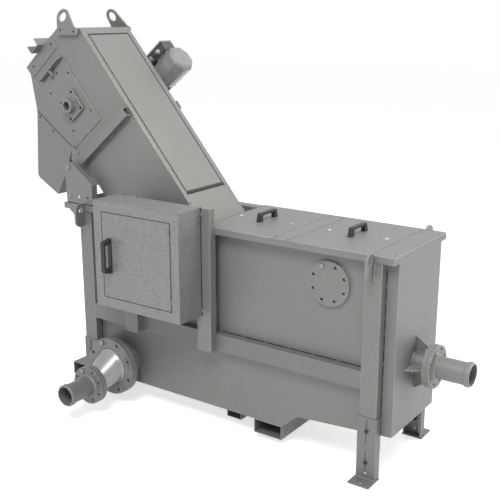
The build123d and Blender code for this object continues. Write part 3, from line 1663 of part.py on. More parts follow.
with BuildPart() as door_hinges:
    for z in hinge_places:
        block(
            (hinge_x + door_gap / 2, -hinge_y + hinge_radius, z - hinge_length / 2),
            (hinge_x + hinge_leaf, -cabinet_front, z),
        )
        block(
            (hinge_x, -hinge_y, z - hinge_length / 2),
            (hinge_x + hinge_radius, -hinge_y + hinge_radius + leaf_sheet, z),
        )
        with BuildSketch(Plane.XY.offset(z - hinge_length / 2)) as fixed_knuckle:
            with Locations((hinge_x, -hinge_y)):
                Circle(hinge_radius)
        extrude(fixed_knuckle.sketch, amount=hinge_length / 2)
        with BuildSketch(Plane.XY.offset(z)) as hinge_pin:
            with Locations((hinge_x, -hinge_y)):
                Circle(hinge_radius / 2)
        extrude(hinge_pin.sketch, amount=hinge_length / 2 - 1.0)
save(door_hinges.part, "door_hinges")

door_handle_plane = Plane(
    origin=(door_left + door_handle_inset, -cabinet_front, door_handle_z), x_dir=(0, 0, 1), z_dir=(1, 0, 0)
)
with BuildPart() as door_handle:
    add(bridge_handle(door_handle_plane, door_handle_length, door_handle_height))
    with BuildSketch(Plane.XZ.offset(cabinet_front)) as handle_base:
        with Locations((door_left + door_handle_inset, door_handle_z)):
            Rectangle(handle_width, door_handle_length)
    extrude(handle_base.sketch, amount=handle_base_sheet)
save(door_handle.part, "door_handle")

plate_inset = 50.0
plate_sheet = 3.0
stud_length = 20.0
stud_inset = 20.0
stud_half = 6.0
rail_drop = 110.0
device_rail_depth = 7.0
device_rail_half = 17.5
device_depth = 65.0
device_half = 42.0
device_gap = 8.0
back_inside = cabinet_back + cabinet_sheet
plate_y = back_inside + stud_length
device_seat = plate_y + plate_sheet + device_rail_depth
with BuildPart() as mounting_plate:
    block(
        (cabinet_left + plate_inset, -plate_y - plate_sheet, cabinet_bottom + plate_inset),
        (cabinet_right - plate_inset, -plate_y, cabinet_top - plate_inset),
    )
    for x in (cabinet_left + plate_inset + stud_inset, cabinet_right - plate_inset - stud_inset):
        for z in (cabinet_bottom + plate_inset + stud_inset, cabinet_top - plate_inset - stud_inset):
            block((x - stud_half, -plate_y, z - stud_half), (x + stud_half, -back_inside, z + stud_half))
    for z in (door_middle[1] - rail_drop, door_middle[1] + rail_drop):
        block(
            (door_left + 10.0, -device_seat, z - device_rail_half),
            (door_right - 10.0, -plate_y - plate_sheet, z + device_rail_half),
        )
save(mounting_plate.part, "mounting_plate")

with BuildPart() as control_modules:
    for z, widths in (
        (door_middle[1] - rail_drop, (18.0, 18.0, 18.0, 45.0, 45.0, 72.0)),
        (door_middle[1] + rail_drop, (90.0, 54.0, 36.0, 36.0, 18.0)),
    ):
        x = door_left + 30.0
        for width in widths:
            block(
                (x, -device_seat - device_depth, z - device_half),
                (x + width, -device_seat, z + device_half),
            )
            x += width + device_gap
save(control_modules.part, "control_modules")
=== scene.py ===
import json
from math import atan2, cos, pi, radians, sin

import bmesh
import bpy
from mathutils import Matrix, Vector


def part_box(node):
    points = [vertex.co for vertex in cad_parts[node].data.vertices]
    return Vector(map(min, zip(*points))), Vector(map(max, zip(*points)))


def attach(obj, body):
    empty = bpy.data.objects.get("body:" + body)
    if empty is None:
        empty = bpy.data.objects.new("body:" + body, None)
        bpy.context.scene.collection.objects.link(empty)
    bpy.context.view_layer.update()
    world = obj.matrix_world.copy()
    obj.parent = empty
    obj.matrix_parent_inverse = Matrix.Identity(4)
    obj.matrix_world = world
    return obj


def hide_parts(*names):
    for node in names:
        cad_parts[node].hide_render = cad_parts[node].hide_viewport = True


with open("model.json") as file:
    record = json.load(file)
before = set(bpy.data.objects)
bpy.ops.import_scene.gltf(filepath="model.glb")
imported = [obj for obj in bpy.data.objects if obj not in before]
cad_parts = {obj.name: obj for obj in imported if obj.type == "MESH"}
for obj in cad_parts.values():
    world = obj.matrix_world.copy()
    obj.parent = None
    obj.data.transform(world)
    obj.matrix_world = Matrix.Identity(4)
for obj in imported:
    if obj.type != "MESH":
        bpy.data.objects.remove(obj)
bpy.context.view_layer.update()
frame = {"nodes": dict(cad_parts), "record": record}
nodes = frame["nodes"]

# Finishes


def start_finish(name, colour, metallic, roughness):
    """A new material: its node tree, its shader and the object's own coordinates."""
    finish = bpy.data.materials.new(name)
    finish.use_nodes = True
    tree = finish.node_tree
    shader = tree.nodes["Principled BSDF"]
    shader.inputs["Base Color"].default_value = (*colour, 1)
    shader.inputs["Metallic"].default_value = metallic
    shader.inputs["Roughness"].default_value = roughness
    place = tree.nodes.new("ShaderNodeTexCoord").outputs["Object"]
    return finish, tree, shader, place


def stretched(tree, place, stretch, turn=(0, 0, 0), move=(0, 0, 0)):
    mapping = tree.nodes.new("ShaderNodeMapping")
    mapping.inputs["Scale"].default_value = stretch
    mapping.inputs["Rotation"].default_value = turn
    mapping.inputs["Location"].default_value = move
    tree.links.new(place, mapping.inputs["Vector"])
    return mapping.outputs["Vector"]


def grain(tree, place, scale, detail=2.0, rough=0.5):
    noise = tree.nodes.new("ShaderNodeTexNoise")
    noise.inputs["Scale"].default_value = scale
    noise.inputs["Detail"].default_value = detail
    noise.inputs["Roughness"].default_value = rough
    tree.links.new(place, noise.inputs["Vector"])
    return noise.outputs["Fac"]


def spangle(tree, place, scale):
    """Patches like zinc crystals, each of its own tone."""
    cells = tree.nodes.new("ShaderNodeTexVoronoi")
    cells.inputs["Scale"].default_value = scale
    tree.links.new(place, cells.inputs["Vector"])
    tone = tree.nodes.new("ShaderNodeSeparateColor")
    tree.links.new(cells.outputs["Color"], tone.inputs["Color"])
    return tone.outputs["Red"]


def between(tree, value, low, high, to_low=0.0, to_high=1.0):
    """The part of a value from low to high, spread from to_low to to_high."""
    spread = tree.nodes.new("ShaderNodeMapRange")
    spread.inputs["From Min"].default_value = low
    spread.inputs["From Max"].default_value = high
    spread.inputs["To Min"].default_value = to_low
    spread.inputs["To Max"].default_value = to_high
    tree.links.new(value, spread.inputs["Value"])
    return spread.outputs["Result"]


def joined(tree, operation, first, second):
    sum_up = tree.nodes.new("ShaderNodeMath")
    sum_up.operation = operation
    for socket, value in zip(sum_up.inputs, (first, second)):
        if isinstance(value, (int, float)):
            socket.default_value = value
        else:
            tree.links.new(value, socket)
    return sum_up.outputs["Value"]


def tinted(tree, amount, colour_low, colour_high):
    """A colour between two, by an amount; each may be a colour or another node's output."""
    mix = tree.nodes.new("ShaderNodeMix")
    mix.data_type = "RGBA"
    tree.links.new(amount, mix.inputs["Factor"])
    for socket, colour in ((mix.inputs[6], colour_low), (mix.inputs[7], colour_high)):
        if isinstance(colour, tuple):
            socket.default_value = (*colour, 1)
        else:
            tree.links.new(colour, socket)
    return mix.outputs[2]


def soft_edge(tree, radius):
    """The normal that a small rounding of the sheet's edges would give."""
    rounding = tree.nodes.new("ShaderNodeBevel")
    rounding.samples = 4
    rounding.inputs["Radius"].default_value = radius
    return rounding.outputs["Normal"]


def edge_amount(tree, rounded):
    """1 on a bent or cut edge and 0 on the flat."""
    geometry = tree.nodes.new("ShaderNodeNewGeometry")
    dot = tree.nodes.new("ShaderNodeVectorMath")
    dot.operation = "DOT_PRODUCT"
    tree.links.new(rounded, dot.inputs[0])
    tree.links.new(geometry.outputs["Normal"], dot.inputs[1])
    return between(tree, dot.outputs["Value"], 0.995, 0.85)


def bumped(tree, height, strength, distance, normal=None):
    bump = tree.nodes.new("ShaderNodeBump")
    bump.inputs["Strength"].default_value = strength
    bump.inputs["Distance"].default_value = distance
    tree.links.new(height, bump.inputs["Height"])
    if normal is not None:
        tree.links.new(normal, bump.inputs["Normal"])
    return bump.outputs["Normal"]


def shade(colour, share):
    """The colour made darker, or brighter with a share above 1."""
    return tuple(c * share for c in colour)


def shown(tree, shader, colour, roughness, normal):
    """What the nodes work out goes to the shader."""
    tree.links.new(colour, shader.inputs["Base Color"])
    tree.links.new(roughness, shader.inputs["Roughness"])
    tree.links.new(normal, shader.inputs["Normal"])


def blasted_sheet(name, colour, turn=(0, 0, 0), metallic=0.3, roughness=0.5, edge=0.0045):
    """Bead-blasted stainless sheet: a fine even speckle, clouds, run marks and a painted highlight
    on its edges.
    """
    finish, tree, shader, place = start_finish(name, colour, metallic, roughness)
    shader.inputs["Specular IOR Level"].default_value = 0.3
    clouds = grain(tree, place, 3.5, detail=4.0, rough=0.6)
    speckle = grain(tree, place, 170, detail=3.0, rough=0.7)
    peening = grain(tree, place, 900, detail=2.0, rough=0.6)
    runs = grain(tree, stretched(tree, place, (26, 26, 1.6), turn), 1.0, detail=3.0, rough=0.6)
    tone = tinted(tree, between(tree, clouds, 0.3, 0.7), shade(colour, 0.97), shade(colour, 1.03))
    dots = between(tree, speckle, 0.35, 0.68, 0.0, 0.5)
    speckled = tinted(tree, dots, tone, shade(colour, 0.80))
    marks = between(tree, runs, 0.55, 0.8, 0.0, 0.16)
    marked = tinted(tree, marks, speckled, shade(colour, 0.84))
    rounded = soft_edge(tree, edge)
    patches = between(tree, clouds, 0.3, 0.65, 0.45, 1.0)
    # painted highlight: the rounded edges are brightened, in cloudy patches
    patchy_edge_highlight = joined(tree, "MULTIPLY", edge_amount(tree, rounded), patches)
    fine = bumped(tree, peening, 0.12, 0.0004, rounded)
    shown(tree, shader, tinted(tree, patchy_edge_highlight, marked, shade(colour, 2.4)),
          between(tree, speckle, 0.3, 0.7, roughness - 0.05, roughness + 0.08),
          bumped(tree, clouds, 0.10, 0.004, fine))
    return finish


def galvanised_sheet(name, colour):
    """Galvanised cabinet sheet: soft zinc patches over a fine grain, with a painted highlight on
    its edges.
    """
    finish, tree, shader, place = start_finish(name, colour, 0.3, 0.48)
    shader.inputs["Specular IOR Level"].default_value = 0.3
    crystals = spangle(tree, stretched(tree, place, (1, 1, 1.3), (0.2, 0.4, 0.1)), 34)
    smudges = grain(tree, stretched(tree, place, (1, 1, 1.4), (0.3, 0.5, 0.2)), 52,
                    detail=3.0, rough=0.55)
    clouds = grain(tree, place, 3, detail=3.0)
    speckle = grain(tree, place, 210, detail=2.0)
    smudged = between(tree, smudges, 0.36, 0.50)
    tone = tinted(tree, smudged, shade(colour, 0.80), shade(colour, 1.07))
    crusted = tinted(tree, joined(tree, "MULTIPLY", crystals, 0.35), tone, shade(colour, 1.20))
    dots = between(tree, speckle, 0.4, 0.7, 0.0, 0.4)
    speckled = tinted(tree, dots, crusted, shade(colour, 0.84))
    rounded = soft_edge(tree, 0.003)
    patches = between(tree, clouds, 0.3, 0.6, 0.2, 0.7)
    # painted highlight: the rounded edges are brightened, in cloudy patches
    patchy_edge_highlight = joined(tree, "MULTIPLY", edge_amount(tree, rounded), patches)
    shown(tree, shader, tinted(tree, patchy_edge_highlight, speckled, shade(colour, 1.45)),
          between(tree, smudges, 0.3, 0.7, 0.38, 0.55),
          bumped(tree, speckle, 0.08, 0.0005, rounded))
    return finish


def turned_steel(name, colour, centre, roughness, metallic):
    """Machined or polished stainless, with fine rings round an axis along Y.

    The centre is the move that brings the axis to the middle of the pattern.
    """
    finish, tree, shader, place = start_finish(name, colour, metallic, roughness)
    rings = tree.nodes.new("ShaderNodeTexWave")
    rings.wave_type = "RINGS"
    rings.rings_direction = "Z"
    rings.inputs["Scale"].default_value = 180
    rings.inputs["Distortion"].default_value = 1.2
    rings.inputs["Detail"].default_value = 2.0
    tree.links.new(stretched(tree, place, (1, 1, 1), (radians(90), 0, 0), centre),
                   rings.inputs["Vector"])
    clouds = grain(tree, place, 9, detail=4.0, rough=0.6)
    speckle = grain(tree, place, 320, detail=2.0)
    tone = tinted(tree, between(tree, clouds, 0.3, 0.7), shade(colour, 0.86), shade(colour, 1.08))
    lines = joined(tree, "MULTIPLY", rings.outputs["Fac"], 0.35)
    lined = tinted(tree, lines, tone, shade(colour, 0.78))
    rounded = soft_edge(tree, 0.0015)
    fine = bumped(tree, rings.outputs["Fac"], 0.06, 0.0004, rounded)
    shown(tree, shader, tinted(tree, edge_amount(tree, rounded), lined, shade(colour, 1.3)),
          between(tree, clouds, 0.3, 0.7, roughness - 0.06, roughness + 0.12),
          bumped(tree, speckle, 0.05, 0.0003, fine))
    return finish


def fastener_metal(name, colour, metallic, roughness):
    """Plated or ground small parts: a little clouded, and bright on the edges."""
    finish, tree, shader, place = start_finish(name, colour, metallic, roughness)
    clouds = grain(tree, place, 60, detail=3.0)
    tone = tinted(tree, between(tree, clouds, 0.3, 0.7), shade(colour, 0.72), shade(colour, 1.1))
    rounded = soft_edge(tree, 0.0008)
    shown(tree, shader, tinted(tree, edge_amount(tree, rounded), tone, shade(colour, 1.4)),
          between(tree, clouds, 0.3, 0.7, roughness - 0.08, roughness + 0.1),
          bumped(tree, grain(tree, place, 1500), 0.05, 0.0002, rounded))
    return finish


def cast_skin(name, colour):
    """Grey iron with the skin of its sand mould."""
    finish, tree, shader, place = start_finish(name, colour, 0.3, 0.55)
    sand = grain(tree, place, 420, detail=4.0, rough=0.7)
    pits = spangle(tree, place, 260)
    clouds = grain(tree, place, 18, detail=3.0)
    tone = tinted(tree, between(tree, clouds, 0.3, 0.7), shade(colour, 0.85), shade(colour, 1.08))
    pitted = tinted(tree, between(tree, sand, 0.5, 0.75, 0.0, 0.5), tone, shade(colour, 0.7))
    rounded = soft_edge(tree, 0.002)
    rough = bumped(tree, sand, 0.25, 0.0006, rounded)
    shown(tree, shader, tinted(tree, edge_amount(tree, rounded), pitted, shade(colour, 1.35)),
          between(tree, sand, 0.3, 0.7, 0.48, 0.64),
          bumped(tree, pits, 0.06, 0.0004, rough))
    return finish


def oiled_chain(name, colour):
    """Chain steel with a thin brown film of oil and bright wear on its edges."""
    finish, tree, shader, place = start_finish(name, colour, 0.75, 0.36)
    film = grain(tree, place, 45, detail=4.0, rough=0.6)
    tone = tinted(tree, between(tree, film, 0.35, 0.65), shade(colour, 0.6), colour)
    rounded = soft_edge(tree, 0.0012)
    shown(tree, shader, tinted(tree, edge_amount(tree, rounded), tone, shade(colour, 1.6)),
          between(tree, film, 0.3, 0.7, 0.25, 0.5),
          bumped(tree, film, 0.1, 0.0005, rounded))
    return finish


def satin_enamel(name, colour):
    """Sprayed enamel with a light orange peel, chipped on its sharpest edges."""
    finish, tree, shader, place = start_finish(name, colour, 0.0, 0.42)
    peel = grain(tree, place, 380, detail=2.0)
    dust = grain(tree, place, 24, detail=4.0, rough=0.65)
    tone = tinted(tree, between(tree, dust, 0.35, 0.7), colour, shade(colour, 1.22))
    rounded = soft_edge(tree, 0.0015)
    patches = between(tree, dust, 0.5, 0.62)
    chipped = joined(tree, "MULTIPLY", edge_amount(tree, rounded), patches)
    shown(tree, shader, tinted(tree, chipped, tone, shade(colour, 1.9)),
          between(tree, dust, 0.3, 0.7, 0.34, 0.52),
          bumped(tree, peel, 0.14, 0.0005, rounded))
    return finish


def moulded_plastic(name, colour, roughness=0.48):
    """Moulded plastic with a fine spark-eroded grain, paler with wear on its edges."""
    finish, tree, shader, place = start_finish(name, colour, 0.0, roughness)
    skin = grain(tree, place, 1300, detail=2.0)
    dust = grain(tree, place, 30, detail=3.0)
    rounded = soft_edge(tree, 0.0015)
    tone = tinted(tree, between(tree, dust, 0.35, 0.75), colour, shade(colour, 1.5))
    shown(tree, shader, tinted(tree, edge_amount(tree, rounded), tone, shade(colour, 1.9)),
          between(tree, dust, 0.3, 0.7, roughness - 0.1, roughness + 0.1),
          bumped(tree, skin, 0.12, 0.0003, rounded))
    return finish


def pressed_rubber(name, colour):
    """Black rubber with a grey bloom."""
    finish, tree, shader, place = start_finish(name, colour, 0.0, 0.7)
    bloom = grain(tree, place, 55, detail=4.0, rough=0.6)
    shown(tree, shader,
          tinted(tree, between(tree, bloom, 0.4, 0.75), colour, shade(colour, 1.7)),
          between(tree, bloom, 0.3, 0.7, 0.6, 0.8),
          bumped(tree, grain(tree, place, 900), 0.1, 0.0003))
    return finish


steel_grey = (0.262, 0.259, 0.250)
sheet = blasted_sheet("blasted_sheet", steel_grey)
sheet_slope = blasted_sheet("blasted_sheet_slope", steel_grey, turn=(0, radians(-40), 0))
plate = blasted_sheet("blasted_plate", shade(steel_grey, 0.92), edge=0.0018)
weld_bead = blasted_sheet("weld_bead", shade(steel_grey, 1.12), metallic=0.6, roughness=0.36)
cabinet_sheet = galvanised_sheet("galvanised_sheet", (0.270, 0.267, 0.260))
machined_y = turned_steel("turned_along_y", (0.29, 0.287, 0.28), (0.7175, 0, -0.1746),
                          roughness=0.4, metallic=0.45)
polished_cone = turned_steel("polished_cone", (0.37, 0.365, 0.355), (0.7175, 0, -0.2),
                             roughness=0.32, metallic=0.7)
zinc = fastener_metal("dull_zinc", (0.33, 0.33, 0.325), metallic=0.55, roughness=0.42)
bright_steel = fastener_metal("bright_steel", (0.62, 0.62, 0.61), metallic=0.85, roughness=0.24)
# a bright metal for the strips of painted highlight along the edges
glint_steel = fastener_metal("glint_steel", (0.43, 0.43, 0.42), metallic=0.45, roughness=0.40)
# painted shade: a near-black steel stands in for the shade of sockets, slots, seams and joint gaps
# on these bolts, chute seams and frame joints
shade_black = fastener_metal("painted_shade_black_steel", (0.035, 0.035, 0.035), metallic=0.4, roughness=0.45)
cast = cast_skin("cast_skin", (0.22, 0.218, 0.21))
chain_steel = oiled_chain("oiled_chain", (0.30, 0.28, 0.25))
enamel = satin_enamel("satin_enamel", (0.25, 0.25, 0.245))
dark_enamel = satin_enamel("dark_enamel", (0.075, 0.075, 0.073))
black_plastic = moulded_plastic("black_plastic", (0.022, 0.022, 0.024))
pale_plastic = moulded_plastic("pale_plastic", (0.52, 0.52, 0.48), roughness=0.55)
rubber = pressed_rubber("black_rubber", (0.028, 0.028, 0.028))

finish_of_slot = {
    "sheet_steel": sheet, "turned_steel": machined_y, "zinc_fasteners": zinc,
    "cast_bearing": cast, "chain_steel": chain_steel, "motor_paint": enamel,
    "cabinet_sheet": cabinet_sheet, "black_plastic": black_plastic,
    "guide_plastic": pale_plastic, "black_rubber": rubber}
finish_of_node = {
    "inlet_tail": sheet, "outlet_tail": sheet, "shaft_bearings": sheet,
    "take_up_screws": sheet_slope, "screen_housing": sheet_slope, "housing_cover": sheet_slope,
    "struts": sheet_slope, "bearing_plates": sheet_slope, "door_hinges": cabinet_sheet,
    "sprockets": cast, "bearing_bolts": shade_black, "bar_rack": plate, "wiper": plate,
    "feet": plate, "fork_pockets": plate, "cross_channel": plate, "side_rails": plate}


def lay_finish(piece, finish):
    piece.data.materials.clear()
    piece.data.materials.append(finish)


slot_names = [m["slot"] for m in frame["record"]["materials"]]
for node in nodes.values():
    used = [m.name.split(".")[0] if m else "" for m in node.data.materials]
    found = [s for s in slot_names if any(s in u for u in used)]
    lay_finish(node, finish_of_slot[found[0]] if found else sheet)
for name, finish in finish_of_node.items():
    lay_finish(nodes[name], finish)

# Working tools: everything is shaped in edit mode and finished with applied modifiers


def bare_bench():
    """Nothing selected and nothing in edit mode."""
    if bpy.context.object and bpy.context.object.mode != "OBJECT":
        bpy.ops.object.mode_set(mode="OBJECT")
    bpy.ops.object.select_all(action="DESELECT")


def take(piece):
    """Select one piece alone and make it the active one."""
    bare_bench()
    piece.select_set(True)
    bpy.context.view_layer.objects.active = piece


def pick_faces(piece, wanted):
    """In edit mode, select the faces whose middle and normal pass the test."""
    bpy.ops.mesh.select_mode(type="FACE")
    bpy.ops.mesh.select_all(action="DESELECT")
    shape = bmesh.from_edit_mesh(piece.data)
    for face in shape.faces:
        if wanted(face.calc_center_median(), face.normal):
            face.select_set(True)
    bmesh.update_edit_mesh(piece.data)


def tops(middle, normal):
    return normal.z > 0.9


def fronts(middle, normal):
    return normal.y < -0.9


def stepped(piece, wanted, steps):
    """Inset the faces that pass the test, step by step, each with a width and a height."""
    take(piece)
    bpy.ops.object.mode_set(mode="EDIT")
    pick_faces(piece, wanted)
    for width, height in steps:
        bpy.ops.mesh.inset(thickness=width, depth=height)
    bpy.ops.object.mode_set(mode="OBJECT")


def set_down(piece):
    """Put the piece's place, turn and size into its mesh."""
    take(piece)
    bpy.ops.object.transform_apply(location=True, rotation=True, scale=True)
    return piece


def round_edges(piece, width, segments, angle=30):
    take(piece)
    rounding = piece.modifiers.new("rounding", "BEVEL")
    rounding.width = width
    rounding.segments = segments
    rounding.limit_method = "ANGLE"
    rounding.angle_limit = radians(angle)
    bpy.ops.object.modifier_apply(modifier=rounding.name)
    bpy.ops.object.shade_smooth_by_angle(angle=radians(35))
    return piece


def thickened(piece, thickness):
    """A flat piece gets its thickness, half of it on each side."""
    take(piece)
    thick = piece.modifiers.new("thick", "SOLIDIFY")
    thick.thickness = thickness
    thick.offset = 0
    bpy.ops.object.modifier_apply(modifier=thick.name)


def repeated(piece, step, count):
    """The piece again and again, each time one step further, as one mesh."""
    take(piece)
    row = piece.modifiers.new("row", "ARRAY")
    row.use_relative_offset = False
    row.use_constant_offset = True
    row.constant_offset_displace = step
    row.count = count
    bpy.ops.object.modifier_apply(modifier=row.name)


def disc(radius, height, sides):
    """A round or many-sided blank standing on the origin."""
    bare_bench()
    bpy.ops.mesh.primitive_cylinder_add(vertices=sides, radius=radius, depth=height,
                                        location=(0, 0, height / 2))
    return set_down(bpy.context.object)


def slab(length, width, height, middle=(0, 0, 0)):
    """A square blank; its middle is given."""
    bare_bench()
    bpy.ops.mesh.primitive_cube_add(size=1, location=middle)
    blank = bpy.context.object
    blank.scale = (length, width, height)
    return set_down(blank)


def joined_up(pieces):
    """Several pieces made one."""
    bare_bench()
    for piece in pieces:
        piece.select_set(True)
    bpy.context.view_layer.objects.active = pieces[0]
    bpy.ops.object.join()
    return bpy.context.object


def finished(piece, name, finish, body="root"):
    """Name a piece, lay its finish and let it ride on its body."""
    set_down(piece)
    piece.name = name
    piece.data.name = name
    lay_finish(piece, finish)
    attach(piece, body)


def frame_at(place, up, turn=0.0):
    """The place and turn that stand a piece on a point, with its top along a direction."""
    facing = Vector(up).normalized().to_track_quat("Z", "Y").to_matrix().to_4x4()
    return Matrix.Translation(place) @ facing @ Matrix.Rotation(turn, 4, "Z")


def set_out(master, frames, name, finish, body="root"):
    """Copies of a master piece, each with its own mesh, joined as one row."""
    copies = []
    for spot in frames:
        one = master.copy()
        one.data = master.data.copy()
        bpy.context.scene.collection.objects.link(one)
        one.matrix_world = spot
        copies.append(set_down(one))
    finished(joined_up(copies), name, finish, body)


def scrapped(master):
    """A master leaves the bench once its copies are set out."""
    bpy.data.objects.remove(master, do_unlink=True)


# Fasteners


def hexagon_head(across, height):
    """A hexagon head with a turned chamfer, a raised pad on top and a washer under it."""
    head = disc(across / 2 / cos(pi / 6), height, 6)
    stepped(head, tops, ((across * 0.07, height * 0.10), (across * 0.10, 0),
                         (across * 0.02, -height * 0.06)))
    round_edges(head, across * 0.025, 2)
    washer = disc(across * 0.62, height * 0.18, 28)
    round_edges(washer, height * 0.05, 1)
    return joined_up([head, washer])


def pan_head(radius, height, slotted=False):
    """A domed screw head with a small round socket, or with a slot across it."""
    def crown(middle, normal):
        return normal.z > 0.99 and middle.xy.length < radius * 0.02

    head = disc(radius, height * 0.55, 24)
    stepped(head, crown, [(radius * width, height * rise)
                          for width, rise in ((0.14, 0.22), (0.20, 0.15), (0.16, 0.07))])
    bpy.ops.object.mode_set(mode="EDIT")
    pick_faces(head, crown)
    if slotted:
        bpy.ops.transform.resize(value=(1.55, 0.34, 1))
    bpy.ops.mesh.extrude_region_move(TRANSFORM_OT_translate={"value": (0, 0, -height * 0.5)})
    bpy.ops.object.mode_set(mode="OBJECT")
    bpy.ops.object.shade_smooth_by_angle(angle=radians(40))
    return head


def eye_ring(inner, outer, height):
    """A rounded ring, such as the lip of a hole."""
    bare_bench()
    bpy.ops.mesh.primitive_torus_add(major_radius=(inner + outer) / 2,
                                     minor_radius=(outer - inner) / 2,
                                     major_segments=36, minor_segments=10)
    ring = bpy.context.object
    ring.scale = (1, 1, 2 * height / (outer - inner))
    set_down(ring)
    bpy.ops.object.shade_smooth_by_angle(angle=radians(60))
    return ring


# Weld beads


def weld_run(start, end, radius, pitch):
    """A row of overlapping drops of weld from one point to another."""
    way = Vector(end) - Vector(start)
    count = max(2, round(way.length / pitch))
    bare_bench()
    bpy.ops.mesh.primitive_uv_sphere_add(segments=8, ring_count=5, radius=radius)
    drop = bpy.context.object
    drop.scale = (1, 1, 1.25 * pitch / radius)
    set_down(drop)
    bpy.ops.object.shade_smooth()
    repeated(drop, (0, 0, way.length / (count - 1)), count)
    drop.matrix_world = frame_at(start, way)
    return set_down(drop)


def stitches(start, end, length, gap):
    """Short runs of weld with spaces between them."""
    start, end = Vector(start), Vector(end)
    seam = (end - start).length
    way = (end - start).normalized()
    count = max(1, int((seam + gap) // (length + gap)))
    first = start + way * ((seam - count * (length + gap) + gap) / 2)
    runs = []
    for i in range(count):
        here = first + way * i * (length + gap)
        runs.append(weld_run(here, here + way * length, radius=0.0025, pitch=0.006))
    return runs


# Places and sizes that several details share, in metres


def middle_of(node_name):
    """The middle of a node's box at rest."""
    low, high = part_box(node_name)
    return (Vector(low) + Vector(high)) / 2


leg_x = middle_of("leg_back_right").x
leg_inner, tank_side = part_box("leg_back_right")[0][:2]
leg_outer, leg_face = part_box("leg_back_right")[1][:2]
sleeve_face = leg_face + 0.005
foot_bolt_heights = (0.097, 0.266)
rail_foot, rail_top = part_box("side_rails")[0][2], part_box("side_rails")[1][2]
lid_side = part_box("lid_left")[1][1] - 0.0005
lid_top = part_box("lid_left")[1][2]
inlet = middle_of("inlet_stub")
outlet = middle_of("outlet_reducer")
tail = middle_of("outlet_tail")
small_pipe, large_pipe = 0.05715, 0.10955
small_flange, large_flange = 0.110, 0.170
small_plate, large_plate = 0.020, 0.024
cabinet = middle_of("cabinet_body")
cabinet_front, cabinet_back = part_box("cabinet_body")[0][1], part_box("cabinet_body")[1][1]
door_low, door_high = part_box("cabinet_door")

# The inclined frame of the screen housing

pivot = middle_of("pivot_bolts")
slope = radians(50)
down = Vector((cos(slope), 0, -sin(slope)))
outwards = Vector((sin(slope), 0, cos(slope)))
front = Vector((0, -1, 0))
back = Vector((0, 1, 0))
housing_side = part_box("chute")[1][1]
housing_face = 0.538


def on_slope(s, y, n):
    """A point s down the slope, y across it and n square to it, from the pivot bolt."""
    return pivot + down * s + outwards * n + Vector((0, y, 0))


def both_sides(points):
    """The points with their mirror images across the middle plane."""
    return [Vector(p) for p in points] + [Vector((p[0], -p[1], p[2])) for p in points]


def outward_frames(points):
    """Frames that stand on each side face, each turned a little further than the last."""
    return [frame_at(p, back if p.y > 0 else front, 0.3 * (i + 1)) for i, p in enumerate(points)]


def refined(node_name, name, finish, body="root", whole_faces=True):
    """A merged copy of a solid, which stands for it and takes its details."""
    node = nodes[node_name]
    bare_bench()
    piece = node.copy()
    piece.data = node.data.copy()
    bpy.context.scene.collection.objects.link(piece)
    piece.parent = None
    piece.matrix_world = Matrix.Identity(4)
    take(piece)
    bpy.ops.object.mode_set(mode="EDIT")
    bpy.ops.mesh.select_all(action="SELECT")
    bpy.ops.mesh.remove_doubles(threshold=0.00002)
    if whole_faces:
        bpy.ops.mesh.dissolve_limited(angle_limit=radians(1.0))
    bpy.ops.object.mode_set(mode="OBJECT")
    bpy.ops.object.shade_smooth_by_angle(angle=radians(30))
    finished(piece, name, finish, body)
    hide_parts(node_name)
    return piece


# Bridge handles, softened on every edge

for side_name in ("left", "right"):
    grip = refined("lid_handle_" + side_name, "grip_" + side_name, black_plastic,
                   "lid_" + side_name)
    round_edges(grip, 0.0012, 2, angle=25)
door_grip = refined("door_handle", "door_grip", black_plastic, "cabinet_door")
round_edges(door_grip, 0.0012, 2, angle=25)

# Screws on the handles, lids, cover strips, cabinet posts, inclined face, side plates and brackets

grip_screw = pan_head(0.0042, 0.004)
for side_name in ("left", "right"):
    grip_middle = middle_of("lid_handle_" + side_name)
    grip_frames = [frame_at(grip_middle + Vector((0, side * 0.0765, -0.006)), (0, side, 0.25))
                   for side in (-1, 1)]
    set_out(grip_screw, grip_frames, "grip_screws_" + side_name, zinc,
            "lid_" + side_name)
scrapped(grip_screw)

lid_cap = pan_head(0.0066, 0.0034, slotted=True)
lid_washer = eye_ring(0.0072, 0.0118, 0.0022)
lid_screw = joined_up([lid_cap, lid_washer])
for side_name, places in (("left", (-0.0246, 0.304)), ("right", (0.529, 0.8536))):
    cap_frames = [frame_at((x, 0, lid_top + 0.0012), (0, 0, 1), 0.5 + 2 * i)
                  for i, x in enumerate(places)]
    set_out(lid_screw, cap_frames, "lid_caps_" + side_name, bright_steel,
            "lid_" + side_name)
scrapped(lid_screw)

small_screw = pan_head(0.0058, 0.0042)
strip_screws = [(x, y, lid_top) for x in (0.3865, 0.4505) for y in (-0.282, 0.282)]
strip_screws += [(x, y, lid_top) for x in (0.938, 1.026) for y in (-0.24, 0.0, 0.24)]
set_out(small_screw, [frame_at(p, (0, 0, 1), i) for i, p in enumerate(strip_screws)],
        "strip_screws", zinc)
post_screws = [frame_at((x, cabinet_back, 0.614), front, turn)
               for x, turn in ((-0.0334, 0.0), (-0.522, 0.6))]
set_out(small_screw, post_screws, "post_screws", zinc)
face_screws = [frame_at(on_slope(s, y, housing_face), outwards, 5 * s)
               for s in (0.62, 0.70) for y in (-0.186, 0.186)]
set_out(small_screw, face_screws, "face_screws", zinc)
scrapped(small_screw)

